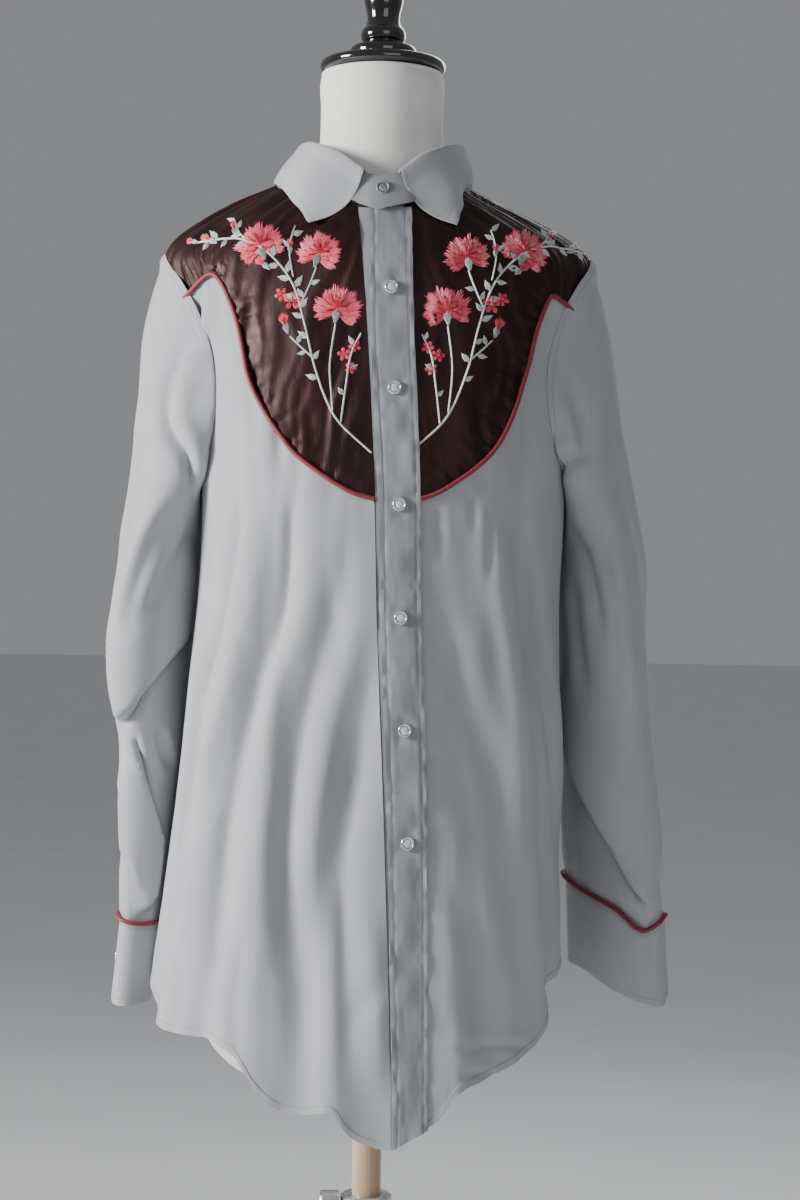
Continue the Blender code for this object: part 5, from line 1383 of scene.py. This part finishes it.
# ---------------------------------------------------------------- finishes
class Finish:
    """A Principled material whose colour, roughness and relief come from noise."""

    def __init__(self, name, colour, roughness, **sockets):
        self.made = bpy.data.materials.new(name)
        self.made.use_nodes = True
        self.nodes, self.links = self.made.node_tree.nodes, self.made.node_tree.links
        self.shader = self.nodes["Principled BSDF"]
        self.place = self.nodes.new("ShaderNodeTexCoord").outputs["Object"]
        self.shader.inputs["Base Color"].default_value = (*colour, 1.0)
        self.shader.inputs["Roughness"].default_value = roughness
        for name, value in sockets.items():
            self.shader.inputs[name.replace("_", " ")].default_value = value
        self.height = None

    def texture(self, kind, moved, by, **sockets):
        """The output of a texture on the piece's own coordinates, stretched or turned."""
        mapping, node = self.nodes.new("ShaderNodeMapping"), self.nodes.new(kind)
        mapping.inputs[moved].default_value = by
        for name, value in sockets.items():
            node.inputs[name].default_value = value
        self.links.new(self.place, mapping.inputs["Vector"])
        self.links.new(mapping.outputs["Vector"], node.inputs["Vector"])
        return node.outputs["Fac"]

    def noise(self, scale, stretch=(1.0, 1.0, 1.0), detail=3.0):
        return self.texture("ShaderNodeTexNoise", "Scale", stretch, Scale=scale, Detail=detail)

    def bands(self, scale, turn):
        return self.texture("ShaderNodeTexWave", "Rotation", turn, Scale=scale, Distortion=0.4)

    def ramp(self, source, low, high, socket):
        """Colours or numbers between two ends, by a noise, into a socket of the shader."""
        node = self.nodes.new("ShaderNodeValToRGB")
        for stop, (place, value) in zip(node.color_ramp.elements, (low, high)):
            stop.position = place
            stop.color = (*value, 1.0) if hasattr(value, "__len__") else (value,) * 3 + (1.0,)
        self.links.new(source, node.inputs["Fac"])
        self.links.new(node.outputs["Color"], self.shader.inputs[socket])
        return self

    def relief(self, source, distance):
        """Bumps by a noise, over the ones that are there."""
        node = self.nodes.new("ShaderNodeBump")
        node.inputs["Distance"].default_value = distance
        node.inputs["Strength"].default_value = 1.0
        self.links.new(source, node.inputs["Height"])
        if self.height is not None:
            self.links.new(self.height, node.inputs["Normal"])
        self.height = node.outputs["Normal"]
        self.links.new(self.height, self.shader.inputs["Normal"])
        return self


def grey_shirting(name, dark, light):
    made = Finish(name, light, 0.80, Sheen_Weight=0.20, Sheen_Roughness=0.45,
                  Sheen_Tint=(0.80, 0.84, 0.92, 1.0), Specular_IOR_Level=0.30)
    made.ramp(made.noise(26.0, (1.0, 1.0, 0.45), 6.0), (0.30, dark), (0.72, light), "Base Color")
    made.ramp(made.noise(900.0, (1.0, 1.0, 0.35)), (0.2, 0.70), (0.8, 0.90), "Roughness")
    made.relief(made.noise(1500.0, (1.0, 1.0, 0.25), 2.0), 0.00010)
    return made.relief(made.bands(620.0, (0.0, 0.6, 0.0)), 0.00006).made


def thread(name, dark, light, roughness):
    made = Finish(name, light, roughness, Sheen_Weight=0.30, Sheen_Roughness=0.35,
                  Specular_IOR_Level=0.55)
    made.ramp(made.noise(420.0, (1.0, 1.0, 1.0), 2.0), (0.30, dark), (0.70, light), "Base Color")
    return made.relief(made.noise(2600.0), 0.00008).made


# Each thread's key, the name of its material, its darkest and lightest colour and roughness.
THREAD_FINISHES = (
    ("cord", "crimson_cord", (0.15, 0.006, 0.016), (0.30, 0.018, 0.038), 0.55),
    ("coral", "coral_thread", (0.62, 0.035, 0.085), (0.88, 0.130, 0.190), 0.42),
    ("crimson", "crimson_thread", (0.30, 0.006, 0.024), (0.52, 0.020, 0.055), 0.42),
    ("pink", "pink_thread", (0.80, 0.230, 0.300), (0.94, 0.440, 0.480), 0.42),
    ("silver", "silver_thread", (0.36, 0.400, 0.370), (0.60, 0.640, 0.600), 0.42),
    ("white", "white_thread", (0.52, 0.560, 0.540), (0.78, 0.800, 0.770), 0.42),
    ("stitch", "grey_thread", (0.200, 0.212, 0.238), (0.270, 0.284, 0.312), 0.60))


def make_finishes():
    """Every material of the piece, by a short key."""
    finishes = {"cloth": grey_shirting("grey_shirting", (0.360, 0.368, 0.386),
                                       (0.420, 0.428, 0.446)),
                # The top strip, the under strip and the collar band wear a darker copy of the same
                # grey shirting: its colour holds painted shade for the shade they stand in.
                "strip": grey_shirting("grey_shirting_painted_shade", (0.225, 0.233, 0.250),
                                       (0.290, 0.298, 0.316))}
    velvet = Finish("brown_velvet", (0.014, 0.005, 0.006), 0.50, Sheen_Weight=0.18,
                    Sheen_Roughness=0.28, Sheen_Tint=(0.66, 0.24, 0.20, 1.0),
                    Specular_IOR_Level=0.34, Specular_Tint=(1.0, 0.66, 0.60, 1.0))
    # The pile's base colour varies by a noise: partly its own uneven tone, partly painted sheen
    # where the crushed nap catches the light.
    velvet.ramp(velvet.noise(38.0, (1.0, 1.0, 0.45), 5.0), (0.34, (0.004, 0.0015, 0.0018)),
                (0.74, (0.026, 0.0075, 0.0080)), "Base Color")
    velvet.ramp(velvet.noise(50.0, (1.0, 1.0, 0.40), 4.0), (0.30, 0.32), (0.70, 0.58),
                "Roughness")
    velvet.relief(velvet.noise(120.0, (1.0, 1.0, 0.35), 5.0), 0.0006)
    finishes["velvet"] = velvet.relief(velvet.noise(2400.0), 0.00012).made
    for key, name, dark, light, roughness in THREAD_FINISHES:
        finishes[key] = thread(name, dark, light, roughness)
    ring = Finish("silver_ring", (0.80, 0.81, 0.83), 0.20, Metallic=1.0)
    finishes["ring"] = ring.ramp(ring.noise(500.0), (0.3, 0.14), (0.7, 0.30), "Roughness").made
    pearl = Finish("pearl", (0.66, 0.68, 0.70), 0.22, Coat_Weight=0.6, Coat_Roughness=0.08)
    pearl.ramp(pearl.noise(210.0, (1.0, 1.0, 1.0), 5.0), (0.30, (0.40, 0.42, 0.45)),
               (0.70, (0.78, 0.80, 0.82)), "Base Color")
    finishes["pearl"] = pearl.relief(pearl.noise(300.0), 0.00010).made
    dull = Finish("dull_snap", (0.30, 0.31, 0.33), 0.45, Metallic=0.6)
    finishes["dull"] = dull.ramp(dull.noise(300.0), (0.3, (0.16, 0.165, 0.18)),
                                 (0.7, (0.36, 0.37, 0.39)), "Base Color").made
    cover = Finish("form_cover", (0.80, 0.79, 0.76), 0.75, Sheen_Weight=0.15)
    cover.ramp(cover.noise(14.0, (1.0, 1.0, 1.0), 5.0), (0.32, (0.70, 0.69, 0.66)),
               (0.70, (0.84, 0.83, 0.80)), "Base Color")
    cover.relief(cover.noise(1100.0, (1.0, 1.0, 0.5), 2.0), 0.00016)
    finishes["cover"] = cover.relief(cover.bands(420.0, (0.0, 0.0, 0.0)), 0.00006).made
    lacquer = Finish("black_lacquer", (0.006, 0.006, 0.007), 0.10, Coat_Weight=1.0,
                     Coat_Roughness=0.04)
    finishes["lacquer"] = lacquer.ramp(lacquer.noise(60.0, (1.0, 1.0, 1.0), 4.0), (0.3, 0.07),
                                       (0.7, 0.16), "Roughness").made
    wood = Finish("pale_wood", (0.55, 0.41, 0.28), 0.42, Coat_Weight=0.25, Coat_Roughness=0.25)
    wood.ramp(wood.noise(60.0, (1.0, 1.0, 0.045), 7.0), (0.30, (0.36, 0.235, 0.140)),
              (0.72, (0.62, 0.470, 0.320)), "Base Color")
    finishes["wood"] = wood.relief(wood.noise(260.0, (1.0, 1.0, 0.03), 4.0), 0.00018).made
    enamel = Finish("black_enamel", (0.012, 0.012, 0.013), 0.32, Coat_Weight=0.3)
    enamel.ramp(enamel.noise(120.0), (0.3, 0.26), (0.7, 0.42), "Roughness")
    finishes["enamel"] = enamel.relief(enamel.noise(900.0), 0.00006).made
    steel = Finish("bright_steel", (0.62, 0.62, 0.63), 0.24, Metallic=1.0)
    steel.ramp(steel.noise(90.0, (1.0, 1.0, 14.0), 3.0), (0.3, 0.18), (0.7, 0.36), "Roughness")
    finishes["steel"] = steel.relief(steel.noise(300.0, (1.0, 1.0, 12.0)), 0.00003).made
    return finishes


# ---------------------------------------------------------------- the pieces
def settle(obj, node):
    """The piece rides on the figure and stands for its CAD node, which it hides."""
    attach(obj, "figure")
    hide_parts(node)
    return obj


def hang(obj, node):
    settle(obj, node)


def make_panels(finish):
    for side, name in SIDES:
        grid = body_grid(yoke_patch(side), lambda d, h: velvet_relief(d, h, side))
        obj = cloth(f"yoke_{name}_velvet", grid, CLOTH, finish["velvet"], flip=side < 0)
        hang(obj, f"yoke_{name}")
        grid = body_grid(dense_foot(front_patch(side), *HEM_CELLS), body_relief)
        obj = cloth(f"front_{name}_cloth", grid, CLOTH, finish["cloth"], flip=side < 0)
        hang(obj, f"front_{name}")
    right_half, left_half = back_patch(-1), back_patch(1)
    right_half[..., 0] += 2 * math.pi
    whole = np.concatenate((left_half[:, ::-1], right_half[:, 1:]), axis=1)
    grid = body_grid(dense_foot(whole, *HEM_CELLS), body_relief)
    hang(cloth("back_cloth", grid, CLOTH, finish["cloth"]), "back")


def make_strips(finish):
    # Both strips wear the darker shirting, whose colour holds painted shade.
    lap_end = -UNDER_LAP - SEAM_GAP / 2
    under = strip_patch(0, 2 * SEAM_GAP, 2, lap_end, NECK_FRONT - 0.0006, *UNDER_STRIP_CELLS)
    grid = body_point(under[..., 0], under[..., 1])
    obj = cloth("placket_under_cloth", grid, CLOTH, finish["strip"])
    hang(obj, "placket_right")
    top = strip_patch(1, 0.0, 2, 0.0, NECK_FRONT - 0.0008, *STRIP_CELLS)
    plain = body_point(top[..., 0], top[..., 1])
    width = np.linalg.norm(plain[:, -1] - plain[:, 0], axis=-1)[:, None] + 0 * top[..., 0]
    out = CLOTH + 3 * SEAM_GAP + placket_relief(width, top[..., 1])
    grid = body_point(top[..., 0], top[..., 1], out)
    obj = cloth("placket_cloth", grid, BAND_CLOTH, finish["strip"])
    hang(obj, "placket_left")


def make_sleeves(finish):
    for side, name in SIDES:
        grid = sleeve_grid(side)
        obj = cloth(f"sleeve_{name}_cloth", grid, CLOTH, finish["cloth"], True, side > 0)
        hang(obj, f"sleeve_{name}")
        grid = cuff_grid(side)
        obj = cloth(f"cuff_{name}_cloth", grid, BAND_CLOTH, finish["cloth"], True, side > 0)
        hang(obj, f"cuff_{name}")


def make_collar(finish):
    # The band wears the darker shirting, whose colour holds painted shade.
    obj = cloth("collar_band_cloth", band_grid(), CLOTH, finish["strip"], flip=True)
    hang(obj, "collar_band")
    obj = cloth("collar_cloth", collar_grid(), CLOTH, finish["cloth"])
    hang(obj, "collar")


def make_piping(finish):
    for side, name in SIDES:
        seam = even(SEAM_LINES[side], PIPING_PLACES)[PIPING_FROM[side]:PIPING_TO]
        line = body_point(seam[:, 0], seam[:, 1], CLOTH + SEAM_GAP + PIPING_RADIUS)
        outward = line - body_point(seam[:, 0], seam[:, 1])
        points, faces = solid_of_rings(rope(line, outward, PIPING_RADIUS))
        obj = new_object(f"yoke_rope_{name}", points, faces, [finish["cord"]], sharp=80.0)
        settle(obj, f"yoke_piping_{name}")
        top = cuff_rings(side, CUFF_TURNS)[0]
        outward = ring_outward(top)
        line = dipped(top[None], turns_like(top[None]), side)[0]
        line = line + outward * (BAND_CLOTH + SEAM_GAP + PIPING_RADIUS)
        rings = rope(line, outward, PIPING_RADIUS, closed=True)
        turned = np.concatenate((rings, rings[:1]))
        faces = grid_faces(len(turned), ROPE_SIDES, True) % (len(rings) * ROPE_SIDES)
        obj = new_object(f"cuff_rope_{name}", rings.reshape(-1, 3), faces.tolist(),
                         [finish["cord"]], sharp=80.0)
        settle(obj, f"cuff_piping_{name}")


def snap_at(name, inner, outward, out, ring, dome):
    """A snap's cap: a metal ring round a domed pearl."""
    outward = Vector(outward).normalized()
    place = np.array(Vector(inner) + outward * out)
    rings = lathe(rounded(RING_PROFILE), RING_TURNS, place, outward)
    points, faces = solid_of_rings(rings, False)
    loop = grid_faces(2, RING_TURNS, True)
    last = (len(rings) - 1) * RING_TURNS
    faces += np.where(loop >= RING_TURNS, loop - RING_TURNS, loop + last).tolist()
    dome_rings = lathe(rounded(DOME_PROFILE), DOME_TURNS, place, outward)
    more, fresh = solid_of_rings(dome_rings, True, len(points))
    indices = [0] * len(faces) + [1] * len(fresh)
    return new_object(name, np.concatenate((points, more)), faces + fresh, [ring, dome],
                      indices, 60.0)


def make_snaps(finish):
    out = CLOTH + 4 * SEAM_GAP + BAND_CLOTH
    for number, height in enumerate(SNAP_HEIGHTS, 1):
        edges = smooth_rows(PLACKET, height)
        angle = angle_at((edges[1] + edges[2]) / 2, height)
        foot = body_point(angle, height)
        outward = body_point(angle, height, 1.0) - foot
        obj = snap_at(f"snap_cap_{number}", foot, outward, out, finish["ring"], finish["pearl"])
        settle(obj, f"snap_{number}")
    share = (BAND_START + 2 * math.pi - BAND_SNAP_ANGLE) / (2 * math.pi + BAND_LAP)
    places = np.linspace(0.0, 1.0, BAND_CELLS[0] + 1)
    top, middle, foot = (between(share, places, row) for row in band_rows(BAND_CELLS[0], 2))
    outward = np.cross((1.0, 0.0, 0.0), top - foot)
    obj = snap_at("snap_cap_band", middle, outward, CLOTH + SEAM_GAP, finish["dull"],
                  finish["dull"])
    settle(obj, "snap_band")
    for side, name in SIDES:
        rings = cuff_rings(side, CUFF_TURNS)
        middle = (rings[1] + rings[2])[CUFF_SNAP_TURN] / 2
        outward = ring_outward(rings[1])[CUFF_SNAP_TURN]
        obj = snap_at(f"cuff_snap_cap_{name}", middle, outward, BAND_CLOTH + 2 * SEAM_GAP,
                      finish["ring"], finish["pearl"])
        settle(obj, f"cuff_snap_{name}")


def make_stitches(finish):
    for edge in ("first", "last"):
        add_stitches(*edge_line(surfaces["placket_cloth"], edge, PLACKET_STITCH), 0.004)
    for name, flip in (("front_right_cloth", True), ("front_left_cloth", False),
                       ("back_cloth", False)):
        add_stitches(*edge_line(surfaces[name], "bottom", HEM_TURN, flip=flip), 0.002)
    underarm = int(SLEEVE_TURNS * UNDERARM_TURN / 360.0) + 2
    for side, name in SIDES:
        flip = side > 0
        sleeve, cuff = surfaces[f"sleeve_{name}_cloth"], surfaces[f"cuff_{name}_cloth"]
        add_stitches(*edge_line(sleeve, "top", ARMHOLE_STITCH, True, flip), closed=True)
        for edge in ("top", "bottom"):
            add_stitches(*edge_line(cuff, edge, CUFF_STITCH, True, flip), closed=True)
        normal = normals_of(sleeve, True) * -side
        for column in (underarm, underarm + 2):
            add_stitches(sleeve[12:-3, column], normal[12:-3, column])
        for inset in SIDE_STITCHES:
            edge = "first" if side > 0 else "last"
            line, away = edge_line(surfaces["back_cloth"], edge, inset)
            add_stitches(line[BACK_HOLE_ROWS + 2:], away[BACK_HOLE_ROWS + 2:], 0.003)
    fall = surfaces["collar_cloth"]
    add_stitches(*edge_line(fall, "bottom", COLLAR_STITCH), COLLAR_STITCH)
    for edge in ("first", "last"):
        line, away = edge_line(fall, edge, COLLAR_STITCH)
        start = int(len(line) * 0.40)
        add_stitches(line[start:], away[start:], COLLAR_STITCH)
    obj = new_object("topstitching", stitch_points, stitch_faces, [finish["stitch"]], sharp=80.0)
    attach(obj, "figure")


def make_embroidery(finish):
    colours = [finish[k] for k in ("coral", "crimson", "pink", "silver", "white")]
    for side, name in SIDES:
        obj = embroider(f"embroidery_{name}", side, colours)
        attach(obj, "figure")


def make_form(finish):
    heights = np.concatenate((np.linspace(FORM_RINGS[0, 0], 0.626, 26),
                              np.linspace(0.630, 1.516, 130), np.linspace(1.5185, FORM_TOP, 12)))
    turns = np.linspace(0.0, 2 * math.pi, FORM_TURNS, endpoint=False)
    rows = []
    for height, (aside, *ring) in zip(heights, smooth_rows(FORM_RINGS, heights)):
        x, y = oval(turns, aside, aside, *ring)[:2]
        rows.append(np.column_stack((x, y, np.full(FORM_TURNS, height))))
    points, faces = solid_of_rings(rows[::-1])
    settle(new_object("form_body", points, faces, [finish["cover"]]), "form")
    rings = lathe(rounded(CAP_PROFILE, 6, 0.42), CAP_TURNS, (0.0, 0.0, FORM_TOP + SEAM_GAP))
    points, faces = solid_of_rings(rings)
    obj = new_object("neck_finial", points, faces, [finish["lacquer"]], sharp=60.0)
    settle(obj, "neck_cap")
    for node, key in (("pole", "wood"), ("base", "enamel"), ("column", "enamel"),
                      ("lock_collar", "steel"), ("lock_lever", "steel")):
        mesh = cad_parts[node].data
        mesh.materials.clear()
        mesh.materials.append(finish[key])


# The plain pale floor, the soft lamps and the camera: each lamp's name, place, the height on
# the axis that it looks at, its size, power and colour.
FLOOR_REACH = 40.0
WORLD_COLOUR = (0.95, 0.97, 1.0, 1.0)
WORLD_STRENGTH = 0.26
LAMPS = (("key", (-2.75, -0.95, 1.80), 1.05, 0.9, 185.0, (1.0, 0.99, 0.98)),
         ("fill", (0.90, -2.90, 1.70), 1.00, 1.6, 12.0, (0.96, 0.98, 1.0)),
         ("rim", (0.90, 2.40, 2.40), 1.10, 1.6, 22.0, (0.96, 0.98, 1.0)))
CAMERA_PLACE = (0.0226, -2.16, 1.05)
CAMERA_ROLL = math.radians(-0.85)
CAMERA_LENS = 72.0
CAMERA_SENSOR = 36.0


def light(name, place, aim, size, power, colour):
    lamp = bpy.data.lights.new(name, "AREA")
    lamp.size = size
    lamp.energy = power
    lamp.color = colour
    obj = bpy.data.objects.new(name, lamp)
    obj.location = place
    toward = Vector((0.0, 0.0, aim)) - Vector(place)
    obj.rotation_euler = toward.to_track_quat("-Z", "Y").to_euler()
    bpy.context.scene.collection.objects.link(obj)


def make_studio():
    mesh = bpy.data.meshes.new("floor")
    corners = [(x * FLOOR_REACH, y * FLOOR_REACH, 0.0)
               for x, y in ((-1, -1), (1, -1), (1, 1), (-1, 1))]
    mesh.from_pydata(corners, [], [(0, 1, 2, 3)])
    floor = bpy.data.objects.new("floor", mesh)
    bpy.context.scene.collection.objects.link(floor)
    pale = Finish("pale_floor", (0.78, 0.79, 0.80), 0.9)
    pale.ramp(pale.noise(3.0), (0.2, (0.76, 0.77, 0.78)), (0.8, (0.81, 0.82, 0.83)), "Base Color")
    mesh.materials.append(pale.made)
    world = bpy.data.worlds.new("studio")
    world.use_nodes = True
    world.node_tree.nodes["Background"].inputs["Color"].default_value = WORLD_COLOUR
    world.node_tree.nodes["Background"].inputs["Strength"].default_value = WORLD_STRENGTH
    bpy.context.scene.world = world
    for lamp in LAMPS:
        light(*lamp)


def make_camera():
    lens = bpy.data.cameras.new("camera")
    lens.lens = CAMERA_LENS
    lens.sensor_width = CAMERA_SENSOR
    camera = bpy.data.objects.new("camera", lens)
    camera.location = CAMERA_PLACE
    camera.rotation_euler = (math.radians(90.0), CAMERA_ROLL, 0.0)
    bpy.context.scene.collection.objects.link(camera)
    bpy.context.scene.camera = camera


make_camera()
SEAM_LINES = {side: yoke_seam(side, 0.0) for side in (-1, 1)}
finishes = make_finishes()
make_panels(finishes)
make_strips(finishes)
make_sleeves(finishes)
make_collar(finishes)
make_piping(finishes)
make_snaps(finishes)
make_stitches(finishes)
make_embroidery(finishes)
make_form(finishes)
make_studio()

bpy.context.view_layer.update()
